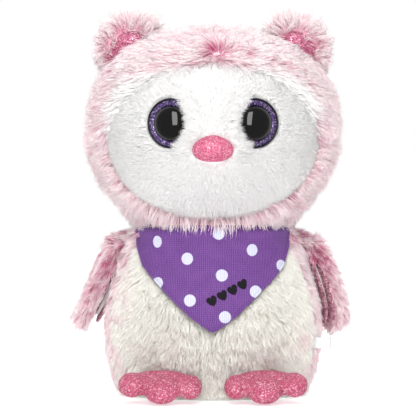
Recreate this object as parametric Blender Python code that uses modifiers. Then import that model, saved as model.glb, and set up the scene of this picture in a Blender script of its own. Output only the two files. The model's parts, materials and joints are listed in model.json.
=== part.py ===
"""Talking plush owl: fur skins over stuffing, round a plastic drive unit that flaps the wings.

Metres, +Z up. The owl faces -Y and its own left is +X. The origin is under the middle of its
bounding box, on the surface that it stands on. Everything is placed about the neck axis, which
the empty called origin moves to its place.
"""

import math

import bmesh
import bpy
from mathutils import Matrix, Vector

MM = 0.001
GAP = 0.3 * MM  # between two solids that touch
RUNNING = 0.25 * MM  # radial clearance of a turning fit
DEPTH = 0.86  # every oval section's depth over its width
STEPS = 24  # sides of the large turned shapes

# Head: half-widths and heights of the fur's outline, crown first, at a width of 111.6 mm.
HEAD_WIDTH = 111.6 * MM
HEAD_OUTLINE = [
    (0, 171.4), (14, 170.6), (27, 167.3), (38.5, 161.5), (46, 155), (51, 147),
    (54.3, 138.5), (55.8, 129), (55.8, 120), (53.8, 112), (50.3, 105), (45.5, 98),
    (40, 91.5), (33.5, 85), (26, 81.2), (18, 80.6),
]
HEAD_SKIN = 4 * MM
FACE_HALF_WIDTH = 47 * MM
FACE_HALF_HEIGHT = 34 * MM
FACE_HEIGHT = 121 * MM

# Body: half-widths and heights of the fur's outline, shoulders first, at a width of 94.4 mm.
BODY_WIDTH = 94.4 * MM
BODY_OUTLINE = [
    (18, 79.7), (26, 79.3), (31.5, 78), (35, 74.8), (37.6, 69), (40.8, 61), (44.4, 52),
    (46.6, 43), (47.2, 33), (46.6, 22), (44.8, 12.5), (42.2, 6), (39.4, 3),
]
BODY_SKIN = 4 * MM
BODY_HEM = 2.62 * MM  # the skin's width where it closes round the drive unit
BELLY_SEAM_Y = -14 * MM
LABEL_SIZE = Vector((8.4, 0.7, 5.4)) * MM
LABEL_HEIGHT = 25.5 * MM

# Drive unit: an oval pod whose base plate closes the plush's underside.
POD_WALL = 1.8 * MM
POD_TOP = 75 * MM
POD_SHOULDER_TOP = 58 * MM
STUFFING_LEAST = 0.61 * MM  # between the pod's side and the skin
BASE_THICKNESS = 2.4 * MM

# Batteries lie side by side across the base.
BATTERY_LENGTH = 44.5 * MM
BATTERY_DIAMETER = 10.5 * MM
BATTERY_COUNT = 3
BATTERY_CLEARANCE = 0.5 * MM
CONTACT_ROOM = 1.5 * MM  # at each end of the cells
DOOR_THICKNESS = 1.7 * MM
DOOR_RECESS = 0.5 * MM
DOOR_CLEARANCE = 0.35 * MM
TRAY_WALL = 1.5 * MM
TRAY_MARGIN = 1.7 * MM  # from the battery tray's corners to the pod's wall
HINGE_PIN_RADIUS = 0.8 * MM

# Gear train, in the plane of the wings' levers.
MODULE = 1 * MM
ADDENDUM = 0.8
DEDENDUM = 1.15
BACKLASH = 0.3 * MM
PRESSURE_ANGLE = math.radians(20)
LEVER_TEETH = 18  # of a full circle
LINK_TEETH = 20
SMALL_TEETH = 10
LARGE_TEETH = 30
PINION_TEETH = 8
GEAR_WIDTH = 3.4 * MM
GEAR_Y = 9.7 * MM  # middle of the lever and link gears
LARGE_GEAR_Y = 4.6 * MM  # middle of the large wheel and the motor pinion
PIVOT_X = 23.5 * MM
PIVOT_Z = 67.5 * MM
PINION_BEARING = math.radians(-10)  # from the large wheel's centre
AXLE_RADIUS = 1.9 * MM
WING_PIN_RADIUS = 1.5 * MM
HUB_RADIUS = 2.9 * MM
SECTOR_HALF_ANGLE = math.radians(34)
FLAP = math.radians(22)  # how far a wing lifts
ARM_HEIGHT = 4.4 * MM
ARM_CLEARANCE = 1 * MM  # above and below the arm, in its slot
SLOT_REACH = 15 * MM  # from a wing's pivot to where its arm leaves the body

# Wings: three layers on a plane that leans out from the shoulder.
WING_GAP = 4.7 * MM  # from the body's side to the wing's middle, at its root
WING_Y = 7 * MM
WING_HEIGHT = 70.5 * MM
WING_LENGTH = 39 * MM
WING_HALF_WIDTH = 12.4 * MM
WING_SPREAD = {"left": math.radians(4.356), "right": math.radians(9.356)}  # from the body's flank
WING_TWIST = {"left": math.radians(1.94), "right": math.radians(-17.06)}  # from the body's side
PADDLE_THICKNESS = 1.6 * MM
LINING_THICKNESS = 1.4 * MM
WING_FUR_THICKNESS = 4.4 * MM

# Neck.
POST_RADIUS = 5 * MM
POST_BOTTOM = 64 * MM
SKULL_PLATE_RADIUS = 22 * MM
SKULL_PLATE_HEIGHT = 92 * MM
SKULL_PLATE_THICKNESS = 2.6 * MM
NECK_WASHER_RADIUS = 7 * MM

# Eyes, each on its own axis square to the face.
EYE_RADIUS = 11.8 * MM
EYES_APART = 14.4 * MM  # between the rims
EYE_X = EYES_APART / 2 + EYE_RADIUS
EYE_HEIGHT = 129.6 * MM
EYE_YAW = math.radians(19)
EYE_SINK = 1.6 * MM
RIM_THICKNESS = 2.4 * MM
IRIS_INNER = 9.4 * MM
IRIS_OUTER = 11 * MM
PUPIL_BULGE = 4.4 * MM
SHANK_RADIUS = 2.5 * MM
SHANK_LENGTH = 13 * MM
NOSE_HEIGHT = 117.6 * MM
NOSE_HALF = Vector((9.6, 8.5, 7)) * MM

EAR_CENTRE = Vector((40.3 * MM, 1 * MM, 165.3 * MM))
EAR_HALF = Vector((15.2, 5.2, 12.6)) * MM
EAR_TILT = math.radians(40)

# Feet: (x, y, z) of each lobe's centre from the neck axis, then its half-sizes.
FOOT_LOBES = [
    ((21.5, -45, 6.2), (17, 15, 7.2)),
    ((8.6, -53.5, 5.2), (6.6, 9.5, 5.8)),
    ((21.8, -58, 5.4), (8.6, 10, 6.2)),
    ((35.2, -51.5, 6.4), (7, 9.6, 5.8)),
]

SPEAKER_RADIUS = 13.5 * MM
SPEAKER_HEIGHT = 32 * MM
SPEAKER_FRONT = -24.2 * MM
BOARD_Y = -19.6 * MM
BOARD_SIZE = Vector((34, 1.4, 17)) * MM
BUTTON_HEIGHT = 57.5 * MM
BUTTON_RADIUS = 7 * MM
BUTTON_CLEARANCE = 0.28 * MM  # behind the belly panel
FLANGE_RADIUS = BUTTON_RADIUS + 1.5 * MM
FLANGE_THICKNESS = 1.3 * MM
FLANGE_CLEARANCE = 0.41 * MM  # behind the pod's wall
BUTTON_TRAVEL = 1.5 * MM
SWITCH_TRAVEL = 4 * MM
MOTOR_SIZE = Vector((20, 20, 15)) * MM

MIDDLE_TOE = 2
FOOT_REACH = (FOOT_LOBES[MIDDLE_TOE][1][1] - FOOT_LOBES[MIDDLE_TOE][0][1]) * MM
HEAD_BACK = HEAD_WIDTH / 2 * DEPTH
NECK_Y = (FOOT_REACH - HEAD_BACK) / 2  # puts the origin under the middle of the box

UPRIGHT = (math.pi / 2, 0, 0)  # turns an XY outline to face -Y


def clear_scene():
    for obj in list(bpy.data.objects):
        bpy.data.objects.remove(obj)


def collection(name):
    made = bpy.data.collections.new(name)
    bpy.context.scene.collection.children.link(made)
    return made


def material(name, colour, roughness, metallic=0.0):
    made = bpy.data.materials.new(name)
    made.use_nodes = True
    shader = made.node_tree.nodes["Principled BSDF"]
    shader.inputs["Base Color"].default_value = (*colour, 1)
    shader.inputs["Roughness"].default_value = roughness
    shader.inputs["Metallic"].default_value = metallic
    return made


def empty(name, place, parent=None):
    made = bpy.data.objects.new(name, None)
    made.location = place
    made.parent = parent
    OWL.objects.link(made)
    return made


def put(name, data, place=(0, 0, 0), turn=(0, 0, 0), parent=None, look=None, helper=False):
    """Adds an object. Its place is from its parent, which is the origin unless given."""
    obj = bpy.data.objects.new(name, data)
    obj.location = place
    obj.rotation_euler = turn
    obj.parent = parent or ORIGIN
    (HELPERS if helper else OWL).objects.link(obj)
    if look:
        data.materials.append(look)
    if helper:
        obj.hide_render = True
        obj.display_type = "WIRE"
    return obj


def primitive(name, make, **options):
    mesh = bpy.data.meshes.new(name)
    bm = bmesh.new()
    make(bm, **options)
    bm.to_mesh(mesh)
    bm.free()
    return mesh


def box(name, size, **options):
    mesh = primitive(name, bmesh.ops.create_cube, size=1)
    mesh.transform(Matrix.Diagonal((*size, 1)))
    return put(name, mesh, **options)


def rod(name, radius, length, end_radius=None, sides=20, **options):
    """A cylinder along its own Z, or a cone with end_radius, centred on its origin."""
    mesh = primitive(
        name, bmesh.ops.create_cone, cap_ends=True, segments=sides, depth=length,
        radius1=radius, radius2=radius if end_radius is None else end_radius,
    )
    return put(name, mesh, **options)


def y_rod(name, radius, start, end, x, z, **options):
    """A cylinder along Y between two distances from the neck axis."""
    place = (x, (start + end) / 2, z)
    return rod(name, radius, end - start, place=place, turn=UPRIGHT, **options)


def ball(name, half, sides=20, rings=12, **options):
    mesh = primitive(
        name, bmesh.ops.create_uvsphere, u_segments=sides, v_segments=rings, radius=1
    )
    mesh.transform(Matrix.Diagonal((*half, 1)))
    mesh.shade_smooth()
    return put(name, mesh, **options)


def outline(name, points, thickness, hole=None, **options):
    """A flat shape from (x, y) points, with a round hole if given, centred in thickness."""
    curve = bpy.data.curves.new(name, "CURVE")
    curve.dimensions = "2D"
    curve.fill_mode = "BOTH"
    curve.extrude = thickness / 2
    for ring in [points] + ([circle(hole, 20)] if hole else []):
        spline = curve.splines.new("POLY")
        spline.points.add(len(ring) - 1)
        for point, (x, y) in zip(spline.points, ring):
            point.co = (x, y, 0, 1)
        spline.use_cyclic_u = True
    return put(name, curve, **options)


def circle(radius, sides):
    turns = [2 * math.pi * i / sides for i in range(sides)]
    return [(radius * math.cos(t), radius * math.sin(t)) for t in turns]


def turned(name, profile, closed=True, depth=DEPTH, steps=STEPS, **options):
    """Turns (radius, height) points, listed down the outer side, about the neck axis."""
    mesh = bpy.data.meshes.new(name)
    edges = [(i, i + 1) for i in range(len(profile) - 1)]
    if closed:
        edges.append((len(profile) - 1, 0))
    mesh.from_pydata([(r, 0, z) for r, z in profile], edges, [])
    obj = put(name, mesh, **options)
    obj.scale = (1, depth, 1)
    screw = obj.modifiers.new("turn", "SCREW")
    screw.steps = steps
    screw.render_steps = steps
    screw.use_merge_vertices = True
    screw.merge_threshold = 0.01 * MM
    screw.use_smooth_shade = True
    return obj


def as_mesh(obj):
    """The object with its modifiers, or its curve, made a plain mesh."""
    graph = bpy.context.evaluated_depsgraph_get()
    mesh = bpy.data.meshes.new_from_object(obj.evaluated_get(graph))
    bm = bmesh.new()
    bm.from_mesh(mesh)
    bmesh.ops.remove_doubles(bm, verts=bm.verts, dist=0.001 * MM)
    bm.to_mesh(mesh)
    bm.free()
    name, users = obj.name, list(obj.users_collection)
    world, parent, hidden = obj.matrix_world.copy(), obj.parent, obj.hide_render
    bpy.data.objects.remove(obj)
    made = bpy.data.objects.new(name, mesh)
    users[0].objects.link(made)
    made.parent = parent
    bpy.context.view_layer.update()
    made.matrix_world = world
    made.hide_render = hidden
    made.display_type = "WIRE" if hidden else "TEXTURED"
    return made


def solidify_curve(obj):
    """A curve as a mesh, so that it can be cut or joined."""
    bpy.context.view_layer.update()
    return as_mesh(obj)


def boolean(obj, other, operation="DIFFERENCE"):
    cut = obj.modifiers.new(f"{operation.lower()} {other.name}", "BOOLEAN")
    cut.operation = operation
    cut.solver = "EXACT"
    cut.object = other
    return obj


def join(obj, *others):
    """Adds helper solids to an object."""
    for other in others:
        boolean(obj, other, "UNION")
    return obj


def at_width(points, width):
    """An outline in metres, widened or narrowed to a width."""
    widest = max(r for r, _ in points)
    return [(r / widest * width / 2, z * MM) for r, z in points]


def offset(profile, distance):
    """The profile moved square to itself, outwards if distance is positive."""
    moved = []
    for i, (r, z) in enumerate(profile):
        before, after = profile[max(i - 1, 0)], profile[min(i + 1, len(profile) - 1)]
        along = Vector((after[0] - before[0], after[1] - before[1])).normalized()
        moved.append((max(r - along.y * distance, 0.0), z + along.x * distance))
    return moved


def between(profile, low, high):
    """The part of a profile between two heights, with points at both ends."""
    kept = []
    for (r0, z0), (r1, z1) in zip(profile, profile[1:]):
        if not kept and z0 <= high:
            kept.append((r0, z0))
        for level in (high, low):
            if (z0 - level) * (z1 - level) < 0:
                kept.append((r0 + (r1 - r0) * (level - z0) / (z1 - z0), level))
        if low <= z1 <= high:
            kept.append((r1, z1))
    return kept


def radius_at(profile, height):
    """The half-width of a profile at a height below its widest fold."""
    for (r0, z0), (r1, z1) in zip(profile, profile[1:]):
        if z1 <= height <= z0:
            return r0 + (r1 - r0) * (height - z0) / (z1 - z0) if z0 > z1 else r0
    return 0.0


def heights_at(profile, radius):
    """The lowest and the highest height where a profile has this half-width."""
    found = []
    for (r0, z0), (r1, z1) in zip(profile, profile[1:]):
        if r0 != r1 and min(r0, r1) <= radius <= max(r0, r1):
            found.append(z0 + (z1 - z0) * (radius - r0) / (r1 - r0))
    return min(found), max(found)


def depth_at(profile, x, height):
    """How far the oval surface is from the neck axis along Y, at x and height."""
    radius = radius_at(profile, height)
    return DEPTH * math.sqrt(max(radius ** 2 - x ** 2, 0.0))


def involute(angle):
    return math.tan(angle) - angle


def tooth_points(teeth, middle):
    """One tooth's (x, y) points about the gear's centre, in order of angle."""
    pitch = MODULE * teeth / 2
    base = pitch * math.cos(PRESSURE_ANGLE)
    tip = pitch + ADDENDUM * MODULE
    root = pitch - DEDENDUM * MODULE
    half = math.pi / (2 * teeth) - BACKLASH / (4 * pitch) + involute(PRESSURE_ANGLE)
    flank = []
    for radius in (root, pitch, tip):
        lean = involute(math.acos(min(base / radius, 1)))
        flank.append((radius, half - lean))
    side = [(r, middle - a) for r, a in flank] + [(r, middle + a) for r, a in reversed(flank)]
    return [(r * math.cos(a), r * math.sin(a)) for r, a in side]


def gear_points(teeth, phase):
    """A whole gear with a tooth's middle at angle phase."""
    points = []
    for i in range(teeth):
        points += tooth_points(teeth, phase + 2 * math.pi * i / teeth)
    return points


def sector_points(teeth, phase, middle, half_angle):
    """A sector round angle middle, whose whole teeth are those of a gear with that phase."""
    pitch_angle = 2 * math.pi / teeth
    root = MODULE * teeth / 2 - DEDENDUM * MODULE
    first = math.ceil((middle - half_angle - phase) / pitch_angle)
    last = math.floor((middle + half_angle - phase) / pitch_angle)
    points = [(0.0, 0.0)]
    start, end = phase + (first - 0.5) * pitch_angle, phase + (last + 0.5) * pitch_angle
    points.append((root * math.cos(start), root * math.sin(start)))
    for i in range(first, last + 1):
        points += tooth_points(teeth, phase + i * pitch_angle)
    points.append((root * math.cos(end), root * math.sin(end)))
    return points


def meshing_phase(teeth, phase, bearing, other_teeth):
    """The phase of a gear at that bearing which fits a gear with the first two values."""
    share = ((bearing - phase) * teeth / (2 * math.pi)) % 1
    return bearing + math.pi - (0.5 - share) * 2 * math.pi / other_teeth


# --- Profiles that several pieces share -------------------------------------------------------

HEAD = at_width(HEAD_OUTLINE, HEAD_WIDTH)
BODY = at_width(BODY_OUTLINE, BODY_WIDTH)
HEAD_INSIDE = offset(HEAD, -HEAD_SKIN)
BATTERY_ROOM = Vector((
    BATTERY_LENGTH + 2 * CONTACT_ROOM,
    BATTERY_COUNT * (BATTERY_DIAMETER + BATTERY_CLEARANCE) + BATTERY_CLEARANCE,
    BATTERY_DIAMETER + BASE_THICKNESS + 2 * BATTERY_CLEARANCE,
))
POD_RADIUS = POD_WALL + TRAY_MARGIN + math.hypot(
    BATTERY_ROOM.x / 2 + TRAY_WALL, (BATTERY_ROOM.y / 2 + TRAY_WALL) / DEPTH)

# The body's skin closes round the pod, and stays clear of its side.
POD_ROOM = POD_RADIUS + GAP
BODY_INSIDE = offset(BODY, -BODY_SKIN)
WIDEST = max(BODY_INSIDE)[1]
BODY_INSIDE = [(max(r, POD_ROOM) if z < WIDEST else r, z) for r, z in BODY_INSIDE]
BODY_INSIDE[-1] = (POD_ROOM, BODY_INSIDE[-1][1])
BODY[-1] = (POD_ROOM + BODY_HEM, BODY[-1][1])
STUFFING_BOTTOM, STUFFING_TOP = heights_at(BODY_INSIDE, POD_ROOM + STUFFING_LEAST + GAP)
POD_SHOULDER = min(POD_SHOULDER_TOP, STUFFING_TOP)

POD = [
    (26 * MM, POD_TOP), (30.4 * MM, POD_TOP - 3 * MM), (32.4 * MM, POD_TOP - 9 * MM),
    (POD_RADIUS, POD_SHOULDER), (POD_RADIUS, BASE_THICKNESS + GAP),
]
POD_INSIDE = [
    (25.2 * MM, POD_TOP - POD_WALL), (29 * MM, POD_TOP - 4.3 * MM),
    (30.6 * MM, POD_TOP - 9.4 * MM), (POD_RADIUS - POD_WALL, POD_SHOULDER),
    (POD_RADIUS - POD_WALL, BASE_THICKNESS + GAP),
]
BUSH_RADIUS = POST_RADIUS + 3.4 * MM
WING_X = radius_at(BODY, WING_HEIGHT) + WING_GAP
WING_TIP_X = radius_at(BODY, WING_HEIGHT - WING_LENGTH) + WING_GAP
FLANK = math.atan2(WING_TIP_X - WING_X, WING_LENGTH)  # the body's slope beside a wing
BESIDE_Y = WING_Y + WING_HALF_WIDTH / 2
BESIDE_X = math.sqrt(radius_at(BODY, WING_HEIGHT - WING_LENGTH / 2) ** 2 - (BESIDE_Y / DEPTH) ** 2)
SIDE_TURN = math.atan2(BESIDE_Y, DEPTH ** 2 * BESIDE_X)  # how far its side faces backwards
BUTTON_FRONT = BUTTON_CLEARANCE - depth_at(BODY_INSIDE, 0, BUTTON_HEIGHT + BUTTON_RADIUS)
FLANGE_FRONT = FLANGE_CLEARANCE - depth_at(POD_INSIDE, 0, BUTTON_HEIGHT + FLANGE_RADIUS)

LEVER_RADIUS = MODULE * LEVER_TEETH / 2
LINK_RADIUS = MODULE * LINK_TEETH / 2
LINK_Z = PIVOT_Z - math.sqrt((LEVER_RADIUS + LINK_RADIUS) ** 2 - (PIVOT_X - LINK_RADIUS) ** 2)
SMALL_RADIUS = MODULE * SMALL_TEETH / 2
LARGE_RADIUS = MODULE * LARGE_TEETH / 2
REDUCTION_CENTRE = (-LINK_RADIUS, LINK_Z - LINK_RADIUS - SMALL_RADIUS)
PINION_DISTANCE = LARGE_RADIUS + MODULE * PINION_TEETH / 2
PINION_CENTRE = (
    REDUCTION_CENTRE[0] + PINION_DISTANCE * math.cos(PINION_BEARING),
    REDUCTION_CENTRE[1] + PINION_DISTANCE * math.sin(PINION_BEARING),
)

clear_scene()
OWL = collection("plush_owl")
HELPERS = collection("cutters")
ORIGIN = None
ORIGIN = empty("origin", (0, NECK_Y, 0))

PINK_FUR = material("pink_fur", (0.86, 0.62, 0.68), 0.9)
WHITE_FUR = material("white_fur", (0.9, 0.89, 0.88), 0.9)
CREAM_FUR = material("cream_fur", (0.84, 0.81, 0.74), 0.9)
GLITTER_CLOTH = material("glitter_cloth", (0.72, 0.19, 0.31), 0.4, 0.3)
BANDANA_CLOTH = material("bandana_cloth", (0.27, 0.12, 0.42), 0.85)
STUFFING = material("stuffing", (0.9, 0.9, 0.88), 1.0)
BLACK_GLOSS = material("black_gloss", (0.01, 0.01, 0.01), 0.08)
PURPLE_GLITTER = material("purple_glitter", (0.3, 0.2, 0.5), 0.3, 0.5)
WHITE_ABS = material("white_abs", (0.8, 0.8, 0.78), 0.5)
GREY_ABS = material("grey_abs", (0.4, 0.4, 0.42), 0.5)
ACETAL = material("acetal", (0.88, 0.87, 0.8), 0.4)
STEEL = material("steel", (0.6, 0.6, 0.62), 0.3, 1.0)
BOARD = material("board", (0.05, 0.22, 0.09), 0.5)
CELL = material("cell", (0.1, 0.1, 0.12), 0.4)
SATIN = material("satin", (0.9, 0.9, 0.9), 0.5)


# --- Body -------------------------------------------------------------------------------------

def make_body():
    ring = BODY + list(reversed(BODY_INSIDE))
    front = box(
        "belly_side", (0.2, 0.1, 0.2), place=(0, BELLY_SEAM_Y - 0.05, 0.05), helper=True
    )
    rear = box(
        "back_side", (0.2, 0.1, 0.2), place=(0, BELLY_SEAM_Y + GAP + 0.05, 0.05), helper=True
    )
    belly = turned("belly_panel", ring, look=CREAM_FUR)
    boolean(belly, front, "INTERSECT")
    back = turned("back_skin", ring, look=PINK_FUR)
    boolean(back, rear, "INTERSECT")

    room = offset(POD, GAP)
    filling = between(offset(BODY_INSIDE, -GAP), STUFFING_BOTTOM, POD_TOP - 1 * MM)
    inside = [(POD_ROOM, STUFFING_BOTTOM), (POD_ROOM, POD_SHOULDER)]
    inside += list(reversed(between(room, POD_SHOULDER + 0.5 * MM, POD_TOP - 1 * MM)))
    stuffing = turned("body_stuffing", filling + inside, look=STUFFING)
    button_room = y_rod(
        "button_room", BUTTON_RADIUS + 1 * MM, -0.04, -0.02, 0, BUTTON_HEIGHT, helper=True
    )
    boolean(stuffing, button_room)

    # The lever's arm moves in a slot through the back skin, the stuffing and the pod.
    for side, sign in (("left", 1), ("right", -1)):
        rise = SLOT_REACH * math.tan(FLAP)
        slot = box(
            f"{side}_arm_slot",
            (22 * MM, GEAR_WIDTH + 3 * GAP, ARM_HEIGHT + rise + 2 * ARM_CLEARANCE),
            place=(sign * (PIVOT_X + 13 * MM), GEAR_Y, PIVOT_Z + rise / 2), helper=True,
        )
        boolean(back, slot)
        boolean(stuffing, slot)
    side = radius_at(BODY, LABEL_HEIGHT)
    seam_x = math.sqrt(side ** 2 - (BELLY_SEAM_Y / DEPTH) ** 2)
    box("sewn_label", LABEL_SIZE, look=SATIN,
        place=(seam_x + LABEL_SIZE.x / 2 + 3 * GAP, BELLY_SEAM_Y, LABEL_HEIGHT))


def make_bandana():
    """A triangle that hangs on the chest, and a band round the neck."""
    band_bottom, band_top = 76 * MM, 79.9 * MM
    whole = between(BODY, 30 * MM, 79 * MM)
    outer = between(offset(whole, 2.2 * MM), 30 * MM, band_top)
    inner = between(offset(whole, 0.6 * MM), 30 * MM, band_top)
    cloth = turned("bandana", outer + list(reversed(inner)), look=BANDANA_CLOTH)
    half = [(39, 82), (37.4, 75), (34.6, 68), (25.6, 53.4), (10.6, 38.8), (2, 33.4)]
    shape = [(x * MM, z * MM) for x, z in half]
    shape += [(-x, z) for x, z in reversed(shape)]
    front = outline(
        "bandana_front", shape, 50 * MM, place=(0, -29 * MM, 0), turn=UPRIGHT, helper=True
    )
    front = solidify_curve(front)
    band = box(
        "bandana_band", (0.1, 0.1, 8 * MM), place=(0, 0, band_bottom + 4 * MM), helper=True
    )
    join(front, band)
    boolean(cloth, front, "INTERSECT")


def make_feet():
    shape = offset(BODY, GAP) + [(0.0, 1.2 * MM)]
    shape = [(0.0, shape[0][1])] + shape
    body_room = turned("body_room", shape, closed=False, helper=True)
    below = box("floor_side", (0.3, 0.3, 0.1), place=(0, 0, -0.05), helper=True)
    for side, sign in (("left", 1), ("right", -1)):
        lobes = []
        for i, (centre, half) in enumerate(FOOT_LOBES):
            place = Vector((sign * centre[0], centre[1], centre[2])) * MM
            name = f"{side}_foot" if i == 0 else f"{side}_toe_{i}"
            lobes.append(ball(
                name, Vector(half) * MM, sides=14, rings=8, place=place,
                look=GLITTER_CLOTH, helper=i > 0,
            ))
        foot = join(*lobes)
        boolean(foot, body_room)
        boolean(foot, below)


# --- Drive unit -------------------------------------------------------------------------------

def make_pod():
    mouth = BUSH_RADIUS + GAP
    ring = [(5 * MM, POD_TOP)] + POD + list(reversed(POD_INSIDE)) + [(5 * MM, POD_TOP - POD_WALL)]
    front = turned("pod_front", ring, look=WHITE_ABS)
    rear = turned("pod_rear", ring, look=WHITE_ABS)
    boolean(front, box("pod_front_side", (0.2, 0.1, 0.2), place=(0, -0.05 - GAP / 2, 0.05),
                       helper=True), "INTERSECT")
    boolean(rear, box("pod_rear_side", (0.2, 0.1, 0.2), place=(0, 0.05 + GAP / 2, 0.05),
                      helper=True), "INTERSECT")
    bush_room = rod("bush_room", mouth, 10 * MM, sides=24, place=(0, 0, POD_TOP), helper=True)
    boolean(front, bush_room)
    boolean(rear, bush_room)

    # What stands on the inside of the wall is trimmed to end within its thickness.
    shape = [(0.0, POD_TOP - POD_WALL / 2)] + offset(POD, -POD_WALL / 2)
    within = turned("pod_envelope", shape + [(0.0, shape[-1][1])], closed=False, helper=True)

    # Pegs that carry the gears reach in from the rear wall.
    pegs = [
        ("link_peg_right", -LINK_RADIUS, LINK_Z, GEAR_Y - GEAR_WIDTH / 2 - 0.4 * MM),
        ("link_peg_left", LINK_RADIUS, LINK_Z, GEAR_Y - GEAR_WIDTH / 2 - 0.4 * MM),
        ("reduction_peg", *REDUCTION_CENTRE, LARGE_GEAR_Y - GEAR_WIDTH / 2 - 0.4 * MM),
    ]
    for name, x, z, start in pegs:
        peg = y_rod(name, AXLE_RADIUS, start, DEPTH * POD_RADIUS, x, z, sides=16, helper=True)
        join(rear, boolean(peg, within, "INTERSECT"))
    for side, sign in (("left", 1), ("right", -1)):
        boolean(rear, bpy.data.objects[f"{side}_arm_slot"])
        x = sign * PIVOT_X
        start = GEAR_Y + GEAR_WIDTH / 2 + 0.5 * MM
        boss = y_rod(f"{side}_pin_boss", 3 * MM, start, 20 * MM, x, PIVOT_Z, helper=True)
        join(rear, boolean(boss, within, "INTERSECT"))
        boolean(rear, y_rod(f"{side}_pin_hole", WING_PIN_RADIUS + GAP, 5 * MM, 16 * MM, x,
                            PIVOT_Z, helper=True))
        y_rod(f"{side}_wing_pin", WING_PIN_RADIUS, GEAR_Y - GEAR_WIDTH / 2 - 0.6 * MM,
              15.7 * MM, x, PIVOT_Z, look=STEEL)

    # Two screws hold the halves together.
    for side, sign in (("left", 1), ("right", -1)):
        x, z = sign * 24.3 * MM, 23.5 * MM
        boss = y_rod(f"{side}_boss_rear", 3 * MM, GAP / 2, 30 * MM, x, z, sides=16,
                     helper=True)
        join(rear, boolean(boss, within, "INTERSECT"))
        boolean(rear, y_rod(f"{side}_screw_thread", 1.5 * MM, -1 * MM, 12 * MM, x, z,
                            sides=16, helper=True))
        boss = y_rod(f"{side}_boss_front", 4.4 * MM, -30 * MM, -GAP / 2, x, z, sides=16,
                     helper=True)
        join(front, boolean(boss, within, "INTERSECT"))
        boolean(front, y_rod(f"{side}_screw_well", 3 * MM, -40 * MM, -6 * MM, x, z,
                             sides=16, helper=True))
        boolean(front, y_rod(f"{side}_screw_hole", 1.6 * MM, -7 * MM, 1 * MM, x, z,
                             sides=16, helper=True))
        screw = y_rod(f"{side}_case_screw", 2.6 * MM, -8 * MM, -6.2 * MM, x, z,
                      sides=16, look=STEEL)
        join(screw, y_rod(f"{side}_screw_shank", 1.2 * MM, -7 * MM, 10 * MM, x, z,
                          sides=12, helper=True))

    # The belly button's hole, and the speaker's grille.
    boolean(front, y_rod("button_hole", BUTTON_RADIUS + 0.5 * MM, -0.04, -0.02, 0,
                         BUTTON_HEIGHT, helper=True))
    for i in range(7):
        turn = math.pi / 3 * i
        reach = 0 if i == 6 else 5.5 * MM
        x, z = reach * math.cos(turn), SPEAKER_HEIGHT + reach * math.sin(turn)
        boolean(front, y_rod(f"grille_hole_{i}", 1.3 * MM, -0.04, -0.024, x, z, sides=10,
                             helper=True))


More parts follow.
